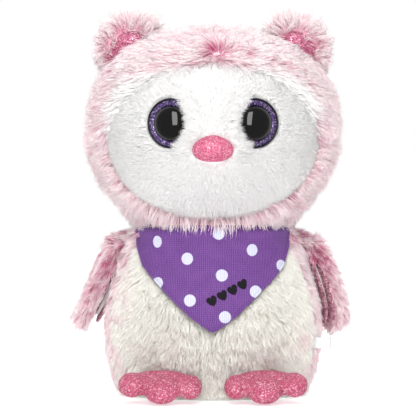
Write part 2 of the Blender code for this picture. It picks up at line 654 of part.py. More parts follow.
def make_base():
    """The base plate with its battery box, the door in it, and the cells."""
    room, wall = BATTERY_ROOM, TRAY_WALL
    door_width = room.y - 2 * DOOR_CLEARANCE
    plate = turned(
        "base_plate",
        [(0, BASE_THICKNESS), (POD_RADIUS, BASE_THICKNESS), (POD_RADIUS, 0), (0, 0)],
        closed=False, look=GREY_ABS,
    )
    tray = (room.x + 2 * wall, room.y + 2 * wall, room.z + wall - 1 * MM)
    join(plate, box("battery_tray", tray, place=(0, 0, 1 * MM + tray[2] / 2), helper=True))
    tab_y = -room.y / 2 - 3 * MM
    join(plate, rod("door_screw_boss", 3.6 * MM, 3.4 * MM, place=(0, tab_y, 2.9 * MM),
                    helper=True))
    boolean(plate, box("battery_room", (room.x, room.y, room.z + 2 * MM),
                       place=(0, 0, room.z / 2 - 1 * MM), helper=True))

    # The door turns on pins at its rear edge, and one captive screw shuts it.
    hinge = empty("battery_door_hinge", (
        0, door_width / 2 - HINGE_PIN_RADIUS, DOOR_RECESS + DOOR_THICKNESS / 2), ORIGIN)
    door = box("battery_door", (room.x - 2 * DOOR_CLEARANCE, door_width, DOOR_THICKNESS),
               place=-Vector(hinge.location) + Vector((0, 0, hinge.location.z)),
               parent=hinge, look=GREY_ABS)
    across = (0, math.pi / 2, 0)
    join(door, rod("hinge_pins", HINGE_PIN_RADIUS, room.x + 2 * MM, sides=12, turn=across,
                   parent=hinge, helper=True))
    boolean(plate, rod("hinge_holes", HINGE_PIN_RADIUS + GAP, room.x + 2.8 * MM, sides=12,
                       turn=across, parent=hinge, helper=True))
    tab = box("door_tab", (9 * MM, 8 * MM, DOOR_THICKNESS), parent=hinge, helper=True,
              place=(0, tab_y + 1 * MM - hinge.location.y, 0))
    join(door, tab)
    boolean(plate, box("tab_room", (9.8 * MM, 8.8 * MM, 6 * MM), helper=True,
                       place=(0, tab_y + 1 * MM, DOOR_RECESS + DOOR_THICKNESS + GAP - 3 * MM)))
    screw_place = (0, tab_y - hinge.location.y)
    boolean(door, rod("tab_hole", 1.3 * MM, 10 * MM, sides=12, parent=hinge, helper=True,
                      place=(*screw_place, 0)))
    boolean(door, rod("tab_counterbore", 2.5 * MM, 2 * MM, sides=16, parent=hinge,
                      helper=True, place=(*screw_place, -1 * MM)))
    screw = rod("door_screw", 2.2 * MM, 0.7 * MM, sides=16, parent=hinge, look=STEEL,
                place=(*screw_place, -0.4 * MM))
    join(screw, rod("door_screw_shank", 1 * MM, 2.6 * MM, sides=12, parent=hinge,
                    helper=True, place=(*screw_place, 0.9 * MM)))
    boolean(plate, rod("door_screw_hole", 1.5 * MM, 8 * MM, sides=12, helper=True,
                       place=(0, tab_y, 0)))

    pitch = BATTERY_DIAMETER + BATTERY_CLEARANCE
    cell_z = DOOR_RECESS + DOOR_THICKNESS + 2 * GAP + BATTERY_DIAMETER / 2
    for i in range(BATTERY_COUNT):
        y = (i - (BATTERY_COUNT - 1) / 2) * pitch
        cell = rod(f"battery_{i + 1}", BATTERY_DIAMETER / 2, BATTERY_LENGTH - 1 * MM,
                   place=(-0.5 * MM, y, cell_z), turn=across, look=CELL)
        join(cell, rod(f"battery_cap_{i + 1}", 2 * MM, 2 * MM, sides=12, helper=True,
                       place=(BATTERY_LENGTH / 2 - 1 * MM, y, cell_z), turn=across))
    for side, sign in (("left", 1), ("right", -1)):
        box(f"{side}_contact_strip", (0.5 * MM, room.y - 2 * MM, 6 * MM), look=STEEL,
            place=(sign * (BATTERY_LENGTH / 2 + CONTACT_ROOM / 2), 0, cell_z))

    # The power switch slides in a slot beside the battery box.
    switch_x, switch_y = 29 * MM, -2 * MM
    boolean(plate, box("switch_slot", (3 * MM, 3.4 * MM + SWITCH_TRAVEL + 1 * MM, 8 * MM),
                       place=(switch_x, switch_y + SWITCH_TRAVEL / 2, 0), helper=True))
    knob = box("power_switch", (2.2 * MM, 3.4 * MM, 3.2 * MM), look=BLACK_GLOSS,
               place=(switch_x, switch_y, 2.2 * MM))
    join(knob, box("switch_flange", (3.8 * MM, 8 * MM, 1 * MM), helper=True,
                   place=(switch_x, switch_y - 1 * MM, BASE_THICKNESS + GAP + 0.5 * MM)))


def make_gears():
    """Lever, link, link, lever in a row, then the reduction wheel and the motor pinion."""
    lean = math.atan2(LINK_Z - PIVOT_Z, LINK_RADIUS - PIVOT_X)  # left lever to left link
    link_phase = {"left": 0.0}
    link_phase["right"] = meshing_phase(LINK_TEETH, 0.0, math.pi, LINK_TEETH)
    for side, sign in (("left", 1), ("right", -1)):
        centre = Vector((sign * LINK_RADIUS, GEAR_Y, LINK_Z))
        outline(
            f"{side}_link_gear", gear_points(LINK_TEETH, link_phase[side]), GEAR_WIDTH,
            hole=AXLE_RADIUS + RUNNING, place=centre, turn=UPRIGHT, look=ACETAL,
        )
        bearing = lean if side == "left" else math.pi - lean  # from the lever to the link
        phase = meshing_phase(LINK_TEETH, link_phase[side], bearing + math.pi, LEVER_TEETH)
        make_lever(side, sign, phase, bearing)

    x, z = REDUCTION_CENTRE
    small_phase = meshing_phase(LINK_TEETH, link_phase["right"], -math.pi / 2, SMALL_TEETH)
    axle = empty("reduction_axle", (x, 0, z), ORIGIN)
    small = outline(
        "reduction_gear", gear_points(SMALL_TEETH, small_phase),
        GEAR_Y + GEAR_WIDTH / 2 - LARGE_GEAR_Y, hole=AXLE_RADIUS + RUNNING,
        place=(0, (GEAR_Y + GEAR_WIDTH / 2 + LARGE_GEAR_Y) / 2, 0), turn=UPRIGHT,
        parent=axle, look=ACETAL,
    )
    large = outline(
        "large_wheel", gear_points(LARGE_TEETH, 0.0), GEAR_WIDTH,
        hole=AXLE_RADIUS + RUNNING, place=(0, LARGE_GEAR_Y, 0), turn=UPRIGHT,
        parent=axle, helper=True,
    )
    join(solidify_curve(small), solidify_curve(large))

    x, z = PINION_CENTRE
    pinion_phase = meshing_phase(LARGE_TEETH, 0.0, PINION_BEARING, PINION_TEETH)
    outline(
        "motor_pinion", gear_points(PINION_TEETH, pinion_phase), GEAR_WIDTH,
        hole=1.0 * MM + RUNNING, place=(x, LARGE_GEAR_Y, z), turn=UPRIGHT, look=ACETAL,
    )
    front = LARGE_GEAR_Y - GEAR_WIDTH / 2 - 1.2 * MM
    motor = box("motor", MOTOR_SIZE, place=(x, front - MOTOR_SIZE.y / 2, z), look=STEEL)
    join(motor, y_rod("motor_shaft", 1.0 * MM, front - 1 * MM,
                      LARGE_GEAR_Y + GEAR_WIDTH / 2, x, z, sides=12, helper=True))


def make_lever(side, sign, phase, bearing):
    """A toothed sector on the wing's pivot, with the arm that carries the wing."""
    pivot = empty(f"{side}_wing_pivot", (sign * PIVOT_X, 0, PIVOT_Z), ORIGIN)
    points = sector_points(LEVER_TEETH, phase, bearing % (2 * math.pi), SECTOR_HALF_ANGLE)
    lever = outline(
        f"{side}_wing_lever", points, GEAR_WIDTH, place=(0, GEAR_Y, 0), turn=UPRIGHT,
        parent=pivot, look=ACETAL,
    )
    lever = solidify_curve(lever)
    hub = rod(f"{side}_hub", HUB_RADIUS, GEAR_WIDTH, place=(0, GEAR_Y, 0), turn=UPRIGHT,
              parent=pivot, helper=True)
    reach = WING_X - PIVOT_X + 0.6 * MM
    arm = box(f"{side}_arm", (reach, GEAR_WIDTH, ARM_HEIGHT), parent=pivot, helper=True,
              place=(sign * reach / 2, GEAR_Y, 0))
    join(lever, hub, arm)
    boolean(lever, rod(f"{side}_lever_bore", WING_PIN_RADIUS + RUNNING, 2 * GEAR_WIDTH,
                       place=(0, GEAR_Y, 0), turn=UPRIGHT, parent=pivot, helper=True))


def make_electronics():
    radius, front = SPEAKER_RADIUS, SPEAKER_FRONT
    cup = [
        (radius, 3 * MM), (radius, 0), (3 * MM, 0), (3 * MM, 0.8 * MM),
        (radius - 2 * MM, 2 * MM), (radius - 2 * MM, 3 * MM),
    ]
    frame = turned("speaker_frame", cup, depth=1, steps=24, look=STEEL,
                   place=(0, front + 3 * MM, SPEAKER_HEIGHT), turn=UPRIGHT)
    cone = [
        (radius - 2.4 * MM, 2.9 * MM), (radius - 2.4 * MM, 2.3 * MM), (3.4 * MM, 1.1 * MM),
        (3.4 * MM, 1.6 * MM),
    ]
    turned("speaker_cone", cone, depth=1, steps=24, look=CELL,
           place=(0, front + 3 * MM, SPEAKER_HEIGHT), turn=UPRIGHT)
    join(frame, y_rod("speaker_magnet", 6.5 * MM, front + 2.5 * MM, front + 4.7 * MM, 0,
                      SPEAKER_HEIGHT, helper=True))
    box("circuit_board", BOARD_SIZE, look=BOARD,
        place=(0, BOARD_Y, BUTTON_HEIGHT - 0.5 * MM))
    board_front = BOARD_Y - BOARD_SIZE.y / 2 - GAP
    y_rod("microphone", 3 * MM, board_front - 2.4 * MM, board_front, 13 * MM,
          BUTTON_HEIGHT + 3.5 * MM, sides=16, look=STEEL)

    # The cap's flange stays behind the pod's wall, and its stem reaches for the board.
    back = FLANGE_FRONT + FLANGE_THICKNESS
    button = y_rod("belly_button", BUTTON_RADIUS, BUTTON_FRONT, back, 0, BUTTON_HEIGHT,
                   look=WHITE_ABS)
    join(button, y_rod("button_flange", FLANGE_RADIUS, FLANGE_FRONT, back + 0.1 * MM, 0,
                       BUTTON_HEIGHT, helper=True))
    join(button, y_rod("button_stem", 2.5 * MM, back - 0.5 * MM, board_front - BUTTON_TRAVEL,
                       0, BUTTON_HEIGHT, sides=16, helper=True))


# --- Wings ------------------------------------------------------------------------------------

def wing_outline(grow=0.0):
    """(across, down) points of a rounded wing, in metres from the middle of its root."""
    length, half = WING_LENGTH + grow, WING_HALF_WIDTH + grow
    share = [
        (0.0, 0.62), (0.12, 0.82), (0.3, 0.97), (0.5, 1.0), (0.7, 0.93), (0.86, 0.74),
        (0.96, 0.42), (1.0, 0.0),
    ]
    right = [(half * across, -length * down) for down, across in share]
    left = [(-x, y) for x, y in reversed(right[:-1])]
    return right + left


def make_wings():
    stack = [
        ("lining", GLITTER_CLOTH, LINING_THICKNESS, 0.5 * MM,
         -PADDLE_THICKNESS / 2 - GAP - LINING_THICKNESS / 2),
        ("paddle", WHITE_ABS, PADDLE_THICKNESS, -3 * MM, 0.0),
        ("fur", PINK_FUR, WING_FUR_THICKNESS, 1 * MM,
         PADDLE_THICKNESS / 2 + GAP + WING_FUR_THICKNESS / 2),
    ]
    for side, sign in (("left", 1), ("right", -1)):
        pivot = bpy.data.objects[f"{side}_wing_pivot"]
        root = Vector((sign * WING_X, WING_Y, WING_HEIGHT)) - Vector(pivot.location)
        lean = Matrix.Rotation(-sign * (FLANK + WING_SPREAD[side]), 4, "Y")
        yaw = Matrix.Rotation(SIDE_TURN + WING_TWIST[side], 4, "Z")
        face = Matrix.Rotation(math.pi / 2, 4, "X")
        turn = Matrix.Rotation(sign * math.pi / 2, 4, "Z")
        frame = Matrix.Translation(root) @ lean @ yaw @ turn @ face
        arm = box(f"{side}_arm_room", (20 * MM, GEAR_WIDTH + 2 * GAP, ARM_HEIGHT + 2 * GAP),
                  parent=pivot, place=(sign * (WING_X - PIVOT_X - 9 * MM), GEAR_Y, 0),
                  helper=True)
        for layer, look, thickness, grow, height in stack:
            piece = outline(f"{side}_wing_{layer}", wing_outline(grow), thickness,
                            parent=pivot, look=look)
            piece = solidify_curve(piece)
            piece.data.transform(frame @ Matrix.Translation((0, 0, height)))
            boolean(piece, arm)


# --- Head -------------------------------------------------------------------------------------

def eye_frame(sign):
    """The place and turn of an eye: its own Z points out of the face."""
    y = -depth_at(HEAD, EYE_X, EYE_HEIGHT)
    out = Vector((sign * math.sin(EYE_YAW), -math.cos(EYE_YAW), 0))
    return Matrix.Translation((sign * EYE_X, y, EYE_HEIGHT)) @ out.to_track_quat(
        "Z", "Y"
    ).to_matrix().to_4x4()


def on_eye(obj, sign, height):
    """Moves a piece's mesh along an eye's axis, height above the face."""
    obj.data.transform(eye_frame(sign) @ Matrix.Translation((0, 0, height)))
    return obj


def make_head():
    head = empty("head_joint", (0, 0, 0), ORIGIN)
    ring = HEAD + list(reversed(HEAD_INSIDE))
    skin = turned("head_skin", ring, closed=False, parent=head, look=PINK_FUR)
    panel = turned("face_panel", ring, closed=False, parent=head, look=WHITE_FUR)
    oval = circle(1, 40)
    inside = [(x * FACE_HALF_WIDTH, y * FACE_HALF_HEIGHT) for x, y in oval]
    around = [(x * (FACE_HALF_WIDTH + GAP), y * (FACE_HALF_HEIGHT + GAP)) for x, y in oval]
    for piece, points, operation in (
        (panel, inside, "INTERSECT"), (skin, around, "DIFFERENCE"),
    ):
        cutter = outline(
            f"{piece.name}_edge", points, 70 * MM, place=(0, -45 * MM, FACE_HEIGHT),
            turn=UPRIGHT, parent=head, helper=True,
        )
        boolean(piece, solidify_curve(cutter), operation)

    # Stuffing, with room for the skull plate and its post.
    plate_top = SKULL_PLATE_HEIGHT + SKULL_PLATE_THICKNESS + 2 * GAP
    room = SKULL_PLATE_RADIUS + 2 * GAP
    filling = offset(HEAD_INSIDE, -GAP)
    filling = [(0.0, filling[0][1])] + between(filling[1:], 86 * MM, 0.17)
    low, high = filling[-1][1] - 1 * MM, SKULL_PLATE_HEIGHT - 2 * GAP
    stuffing = turned("head_stuffing", filling + [(0.0, filling[-1][1])], closed=False,
                      parent=head, look=STUFFING)
    core = [(0.0, plate_top), (room, plate_top), (room, high), (POST_RADIUS + GAP, high),
            (POST_RADIUS + GAP, low), (0.0, low)]
    boolean(stuffing, turned("skull_room", core, closed=False, depth=1, steps=24, parent=head,
                             helper=True))

    # The post turns in a bush at the top of the pod, and a washer and screw hold it down.
    thick = SKULL_PLATE_THICKNESS
    post = [
        (0, SKULL_PLATE_HEIGHT + thick), (SKULL_PLATE_RADIUS, SKULL_PLATE_HEIGHT + thick),
        (SKULL_PLATE_RADIUS, SKULL_PLATE_HEIGHT), (POST_RADIUS, SKULL_PLATE_HEIGHT),
        (POST_RADIUS, POST_BOTTOM), (1.4 * MM, POST_BOTTOM),
        (1.4 * MM, POST_BOTTOM + 10 * MM), (0, POST_BOTTOM + 10 * MM),
    ]
    turned("neck_post", post, closed=False, depth=1, steps=24, parent=head, look=WHITE_ABS)
    shelf = POD_TOP + 2 * MM
    bush_in, bush_out = POST_RADIUS + RUNNING, BUSH_RADIUS
    bush = [
        (bush_out + 1.6 * MM, shelf), (bush_out + 1.6 * MM, POD_TOP + GAP),
        (bush_out, POD_TOP + GAP), (bush_out, POST_BOTTOM + 3 * MM),
        (bush_in, POST_BOTTOM + 3 * MM), (bush_in, shelf),
    ]
    turned("neck_bush", bush, depth=1, steps=24, look=ACETAL)
    washer_top = POST_BOTTOM - GAP
    washer = [
        (NECK_WASHER_RADIUS, washer_top), (NECK_WASHER_RADIUS, washer_top - 1 * MM),
        (1.6 * MM, washer_top - 1 * MM), (1.6 * MM, washer_top),
    ]
    turned("neck_washer", washer, depth=1, steps=24, parent=head, look=STEEL)
    head_z = washer_top - 1 * MM - GAP
    screw = [
        (0, POST_BOTTOM + 8 * MM), (1.1 * MM, POST_BOTTOM + 8 * MM), (1.1 * MM, head_z),
        (3 * MM, head_z), (3 * MM, head_z - 1.4 * MM), (0, head_z - 1.4 * MM),
    ]
    turned("neck_screw", screw, closed=False, depth=1, steps=16, parent=head, look=STEEL)

    make_eyes(head, panel, stuffing)
    shape = [(0.0, HEAD[0][1] + GAP)] + offset(HEAD, GAP)[1:] + [(0.0, HEAD[-1][1] - GAP)]
    head_room = turned("head_room", shape, closed=False, parent=head, helper=True)
    nose_y = -depth_at(HEAD, 0, NOSE_HEIGHT)
    nose = ball("nose", NOSE_HALF, place=(0, nose_y, NOSE_HEIGHT), parent=head,
                look=GLITTER_CLOTH)
    boolean(nose, head_room)
    make_ears(head, head_room)


def make_eyes(head, panel, stuffing):
    washer_top = -EYE_SINK - HEAD_SKIN - 1.2 * MM
    for side, sign in (("left", 1), ("right", -1)):
        pocket = rod(f"{side}_eye_pocket", EYE_RADIUS + GAP, 12 * MM, sides=32, parent=head,
                     helper=True)
        on_eye(pocket, sign, -EYE_SINK + 6 * MM - GAP)
        shank_room = rod(f"{side}_shank_room", SHANK_RADIUS + GAP, 30 * MM, parent=head,
                         helper=True)
        on_eye(shank_room, sign, -10 * MM)
        for cutter in (pocket, shank_room):
            boolean(panel, cutter)
        washer_room = rod(f"{side}_washer_room", 7.6 * MM, 5 * MM, parent=head, helper=True)
        on_eye(washer_room, sign, washer_top - 0.4 * MM)
        # The pocket in the panel leaves a flat floor, which the stuffing stays behind.
        behind = rod(f"{side}_eye_floor", EYE_RADIUS + 6 * MM, 12 * MM, parent=head,
                     helper=True)
        on_eye(behind, sign, -EYE_SINK - HEAD_SKIN + 6 * MM)
        for cutter in (shank_room, washer_room, behind):
            boolean(stuffing, cutter)

        rim = rod(f"{side}_eye_rim", EYE_RADIUS, RIM_THICKNESS, sides=32, parent=head,
                  look=BLACK_GLOSS)
        on_eye(rim, sign, -EYE_SINK + RIM_THICKNESS / 2)
        shank = rod(f"{side}_eye_shank", SHANK_RADIUS, SHANK_LENGTH, sides=16, parent=head,
                    helper=True)
        on_eye(shank, sign, -EYE_SINK + 1 * MM - SHANK_LENGTH / 2)
        join(rim, shank)
        top = -EYE_SINK + RIM_THICKNESS + GAP
        iris = outline(f"{side}_iris", circle(IRIS_OUTER, 32), 0.8 * MM, hole=IRIS_INNER,
                       parent=head, look=PURPLE_GLITTER)
        on_eye(solidify_curve(iris), sign, top + 0.4 * MM)
        pupil = ball(f"{side}_pupil", (IRIS_INNER - GAP * 2, IRIS_INNER - GAP * 2, PUPIL_BULGE),
                     sides=24, rings=10, parent=head, look=BLACK_GLOSS)
        on_eye(pupil, sign, top)
        under = rod(f"{side}_pupil_floor", IRIS_OUTER, 12 * MM, parent=head, helper=True)
        on_eye(under, sign, top - 6 * MM)
        boolean(pupil, under)
        washer = outline(f"{side}_eye_washer", circle(7 * MM, 20), 1.2 * MM,
                         hole=SHANK_RADIUS + GAP, parent=head, look=WHITE_ABS)
        on_eye(solidify_curve(washer), sign, washer_top - 0.6 * MM)


def make_ears(head, head_room):
    for side, sign in (("left", 1), ("right", -1)):
        place = Vector((sign * EAR_CENTRE.x, EAR_CENTRE.y, EAR_CENTRE.z))
        tilt = (0, sign * EAR_TILT, 0)
        ear = ball(f"{side}_ear", EAR_HALF, sides=20, rings=12, place=place, turn=tilt,
                   parent=head, look=PINK_FUR)
        boolean(ear, head_room)
        lining_half = Vector((0.62 * EAR_HALF.x, 3.2 * MM, 0.62 * EAR_HALF.z))
        front = Matrix.Rotation(sign * EAR_TILT, 3, "Y") @ Vector((0, -4.6 * MM, 0))
        lining = ball(f"{side}_ear_lining", lining_half, sides=16, rings=10,
                      place=place + front, turn=tilt, parent=head, look=GLITTER_CLOTH)
        hollow = ball(f"{side}_ear_hollow", lining_half + Vector((GAP, GAP, GAP)), sides=16,
                      rings=10, place=place + front, turn=tilt, parent=head, helper=True)
        boolean(ear, hollow)
        boolean(lining, head_room)


make_body()
make_bandana()
make_feet()
make_pod()
make_base()
make_gears()
make_electronics()
make_wings()
make_head()
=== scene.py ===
"""Looks of the plush owl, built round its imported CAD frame.

Metres, +Z up, facing -Y. The fur is real strands: each is a thin tapered prism, rooted on a
smoothed copy of the CAD skin below it.
"""

import json
from math import ceil, copysign, cos, exp, pi, radians, sin, sqrt

import bmesh
import bpy
import numpy as np
from mathutils import Matrix, Vector, kdtree
from mathutils.bvhtree import BVHTree


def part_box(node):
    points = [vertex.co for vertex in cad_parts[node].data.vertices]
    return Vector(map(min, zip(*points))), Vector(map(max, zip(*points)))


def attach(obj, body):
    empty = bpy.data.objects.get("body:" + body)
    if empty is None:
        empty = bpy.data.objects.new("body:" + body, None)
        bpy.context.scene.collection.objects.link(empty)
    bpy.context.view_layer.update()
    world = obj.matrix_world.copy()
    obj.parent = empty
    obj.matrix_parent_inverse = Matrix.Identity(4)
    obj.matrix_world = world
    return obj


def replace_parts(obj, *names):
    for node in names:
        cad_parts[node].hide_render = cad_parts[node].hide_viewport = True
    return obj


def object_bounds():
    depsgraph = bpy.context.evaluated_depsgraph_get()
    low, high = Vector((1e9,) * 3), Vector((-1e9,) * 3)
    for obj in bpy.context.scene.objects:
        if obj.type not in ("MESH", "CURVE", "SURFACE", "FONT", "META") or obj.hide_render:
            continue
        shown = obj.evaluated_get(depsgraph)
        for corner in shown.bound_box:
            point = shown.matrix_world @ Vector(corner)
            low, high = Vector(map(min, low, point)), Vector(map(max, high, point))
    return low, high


MM = 0.001

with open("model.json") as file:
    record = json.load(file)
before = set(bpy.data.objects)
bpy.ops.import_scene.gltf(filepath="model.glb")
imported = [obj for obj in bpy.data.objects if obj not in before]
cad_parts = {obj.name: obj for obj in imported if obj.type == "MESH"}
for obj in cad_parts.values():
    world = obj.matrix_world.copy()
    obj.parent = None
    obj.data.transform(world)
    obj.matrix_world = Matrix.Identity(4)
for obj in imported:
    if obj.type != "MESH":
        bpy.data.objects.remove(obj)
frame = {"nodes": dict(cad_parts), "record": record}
cad_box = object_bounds()


# --- Places, read from the frame

def middle(node):
    low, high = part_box(node)
    return (low + high) / 2


AXIS = middle("neck_post")  # the neck's axis is vertical through this point
HEAD_LOW, HEAD_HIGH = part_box("head_skin")
HEAD_CENTRE = (HEAD_LOW + HEAD_HIGH) / 2
FACE_LOW, FACE_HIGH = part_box("face_panel")
BODY_LOW, BODY_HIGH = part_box("back_skin")
NOSE = middle("nose")
EYES = {side: middle(f"{side}_iris") for side in ("left", "right")}
EYE_YAW = radians(19)
SIDES = (("left", 1), ("right", -1))
DOWN = np.array([0.0, 0.0, -1.0])
BODY_DEPTH = 0.86  # the body's depth over its width


def body_width():
    """Heights, and the back skin's half-width at each of them."""
    mesh = frame["nodes"]["back_skin"].data
    tree = BVHTree.FromPolygons([v.co for v in mesh.vertices],
                                [list(p.vertices) for p in mesh.polygons])
    heights = np.linspace(BODY_LOW.z + 1 * MM, BODY_HIGH.z - 1 * MM, 40)
    found = [tree.ray_cast(Vector((0.2, AXIS.y + 1 * MM, z)), Vector((-1, 0, 0)))[0]
             for z in heights]
    return heights, np.array([p.x if p else 0.0 for p in found])


BODY_HEIGHTS, BODY_HALVES = body_width()


# --- Materials

def srgb(*display):
    """A linear colour from 0-255 display values."""
    value = np.array(display) / 255
    return np.where(value <= 0.04045, value / 12.92, ((value + 0.055) / 1.055) ** 2.4)


class Graph:
    """Short calls that add nodes to a shader's tree."""

    def __init__(self, tree):
        self.nodes, self.links = tree.nodes, tree.links

    def add(self, kind, inputs=(), **settings):
        node = self.nodes.new(f"ShaderNode{kind}")
        for setting, value in settings.items():
            setattr(node, setting, value)
        for socket, value in dict(inputs).items():
            if hasattr(value, "is_output"):
                self.links.new(value, node.inputs[socket])
            else:
                node.inputs[socket].default_value = value
        return node

    def place(self):
        """The point on the surface, in the piece's own space."""
        return self.add("TexCoord").outputs["Object"]

    def noise(self, scale, detail=3.0):
        inputs = {"Scale": scale, "Detail": detail, "Roughness": 0.55, "Vector": self.place()}
        return self.add("TexNoise", inputs).outputs["Fac"]

    def cells(self, scale, output="Distance", feature="F1"):
        inputs = {"Scale": scale, "Vector": self.place()}
        return self.add("TexVoronoi", inputs, feature=feature).outputs[output]

    def maths(self, operation, first, second=0.0):
        return self.add("Math", {0: first, 1: second}, operation=operation).outputs[0]

    def plus(self, first, second):
        return self.maths("ADD", first, second)

    def minus(self, first, second):
        return self.maths("SUBTRACT", first, second)

    def times(self, first, second):
        return self.maths("MULTIPLY", first, second)

    def weighed(self, first, by_first, second, by_second):
        """The sum of two values, each times its weight."""
        return self.plus(self.times(first, by_first), self.times(second, by_second))

    def mix(self, factor, first, second, blend="MIX"):
        def colour(value):
            return value if hasattr(value, "is_output") else (*value, 1)
        inputs = {0: factor, 6: colour(first), 7: colour(second)}
        return self.add("Mix", inputs, data_type="RGBA", blend_type=blend).outputs[2]

    def shaded(self, colour, level):
        """The colour times a grey level."""
        grey = self.add("CombineColor", dict.fromkeys(("Red", "Green", "Blue"), level))
        return self.mix(1.0, colour, grey.outputs[0], "MULTIPLY")

    def between(self, value, low, high, into=(0.0, 1.0)):
        inputs = {"Value": value, "From Min": low, "From Max": high, "To Min": into[0],
                  "To Max": into[1]}
        return self.add("MapRange", inputs).outputs[0]

    def ramp(self, value, *stops):
        """Colours at shares of a value, blended between them."""
        node = self.add("ValToRGB", {0: value})
        elements = node.color_ramp.elements
        while len(elements) < len(stops):
            elements.new(1.0)
        for element, (share, colour) in zip(elements, stops):
            element.position = share
            element.color = (*colour, 1)
        return node.outputs[0]

    def red(self, colour):
        return self.add("SeparateColor", {0: colour}).outputs[0]


class Look(Graph):
    """A material, and calls that set its shader."""

    def __init__(self, name, colour=(0.8, 0.8, 0.8), roughness=0.5, **constants):
        self.material = bpy.data.materials.new(name)
        self.material.use_nodes = True
        super().__init__(self.material.node_tree)
        self.shader = self.nodes["Principled BSDF"]
        self.shader.inputs["Base Color"].default_value = (*colour, 1)
        self.shader.inputs["Roughness"].default_value = roughness
        for socket, value in constants.items():
            self.shader.inputs[socket.replace("_", " ")].default_value = value

    def to(self, socket, value):
        self.links.new(value, self.shader.inputs[socket])

    def bump(self, height, strength=0.3, distance=0.3 * MM):
        inputs = {"Height": height, "Strength": strength, "Distance": distance}
        self.to("Normal", self.add("Bump", inputs).outputs[0])


def pile_look(name, roughness=0.8):
    """Fur: the colour runs along each strand, and varies a little from place to place."""
    look = Look(name, roughness=roughness, Sheen_Weight=0.3, Sheen_Roughness=0.4,
                Specular_IOR_Level=0.2)
    shade = look.add("Attribute", attribute_name="pile").outputs["Color"]
    fleck = look.between(look.noise(900, 2), 0.3, 0.7, (0.96, 1.03))
    look.to("Base Color", look.shaded(shade, fleck))
    return look.material


def backing_look(name, colour):
    """The knitted cloth that the fur stands on."""
    look = Look(name, colour, 0.95)
    weave = look.noise(1800, 2)
    look.to("Base Color", look.mix(weave, colour * 0.85, colour))
    look.bump(weave, 0.4)
    return look.material


def glitter_look(name, dark, mid, bright, grain=1500, roughness=0.42):
    """Knit covered with foil flakes, each with its own tone and its own tilt."""
    look = Look(name, mid, roughness, Specular_IOR_Level=0.45)
    flake = look.red(look.cells(grain, "Color"))
    tone = look.weighed(flake, 0.72, look.noise(260, 3), 0.3)
    colour = look.ramp(tone, (0.14, dark), (0.42, mid), (0.66, mid), (0.9, bright))
    edge = look.between(look.cells(grain, "Distance"), 0.25, 0.7, (1.0, 0.72))
    look.to("Base Color", look.shaded(colour, edge))
    look.to("Metallic", look.between(flake, 0.72, 0.8, (0.05, 0.5)))
    look.to("Roughness", look.between(flake, 0.7, 0.95, (roughness + 0.12, roughness - 0.14)))
    look.bump(look.weighed(flake, 1.0, look.noise(420, 2), 1.4), 0.5, 0.22 * MM)
    return look.material


# --- Skins under the fur

def new_object(name, data):
    obj = bpy.data.objects.new(name, data)
    bpy.context.scene.collection.objects.link(obj)
    return obj


def add_mesh(name, points, faces, body, look):
    mesh = bpy.data.meshes.new(name)
    mesh.from_pydata([tuple(p) for p in points], [], faces)
    mesh.update()
    mesh.shade_smooth()
    mesh.materials.append(look)
    obj = new_object(name, mesh)
    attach(obj, body)
    return obj


def from_bmesh(name, bm, look):
    mesh = bpy.data.meshes.new(name)
    bm.to_mesh(mesh)
    bm.free()
    mesh.materials.append(look)
    return new_object(name, mesh)


def apply_modifiers(obj):
    graph = bpy.context.evaluated_depsgraph_get()
    mesh = bpy.data.meshes.new_from_object(obj.evaluated_get(graph))
    old = obj.data
    obj.modifiers.clear()
    obj.data = mesh
    bpy.data.meshes.remove(old)
    mesh.name = obj.name


def even_out(obj, voxel, smooth):
    """Covers a piece with even facets, of voxel millimetres, then smooths its edges away."""
    remesh = obj.modifiers.new("even", "REMESH")
    remesh.mode = "VOXEL"
    remesh.voxel_size = voxel * MM
    remesh.use_smooth_shade = True
    obj.modifiers.new("relax", "SMOOTH").iterations = smooth
    apply_modifiers(obj)


def padded_piece(obj, node, body):
    """Puts a stuffed piece on its body, in the place of a CAD node."""
    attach(obj, body)
    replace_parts(obj, node)


def cloth_copy(node, name, body, voxel, look, smooth=6, puff=0.0, more=None):
    """A CAD solid's copy with its facets smoothed away, swollen by puff mm. It takes the
    solid's place as a padded piece. more(bm) may add overlapping shapes first."""
    bm = bmesh.new()
    bm.from_mesh(frame["nodes"][node].data)
    if more:
        more(bm)
    obj = from_bmesh(name, bm, look)
    even_out(obj, voxel, smooth)
    for vertex, normal in zip(obj.data.vertices, [v.normal.copy() for v in obj.data.vertices]):
        vertex.co += normal * (puff * MM)
    padded_piece(obj, node, body)
    return obj


def scatter(obj, density, keep, seed):
    """Points on a piece and the normals there, density to a square metre, where
    keep(points, normals) holds."""
    mesh = obj.data
    mesh.calc_loop_triangles()

    def read(items, field, kind=float):
        values = np.empty(len(items) * 3, kind)
        items.foreach_get(field, values)
        return values.reshape(-1, 3)

    triangles = read(mesh.loop_triangles, "vertices", int)
    c = read(mesh.vertices, "co")[triangles]
    bends = read(mesh.vertices, "normal")[triangles]
    rng = np.random.default_rng(seed)
    area = 0.5 * np.linalg.norm(np.cross(c[:, 1] - c[:, 0], c[:, 2] - c[:, 0]), axis=1)
    count = int(area.sum() * density)
    which = rng.choice(len(c), count, p=area / area.sum())
    u, v = rng.random(count), rng.random(count)
    fold = u + v > 1
    u[fold], v[fold] = 1 - u[fold], 1 - v[fold]
    share = np.stack([1 - u - v, u, v], 1)[:, :, None]
    points = (c[which] * share).sum(1)
    normals = unit((bends[which] * share).sum(1))
    kept = keep(points, normals)
    return points[kept], normals[kept]


def unit(vectors):
    return vectors / np.maximum(np.linalg.norm(vectors, axis=-1, keepdims=True), 1e-12)


def along(vectors, normals):
    """The vectors laid into the surface."""
    return unit(vectors - normals * (vectors * normals).sum(1, keepdims=True))


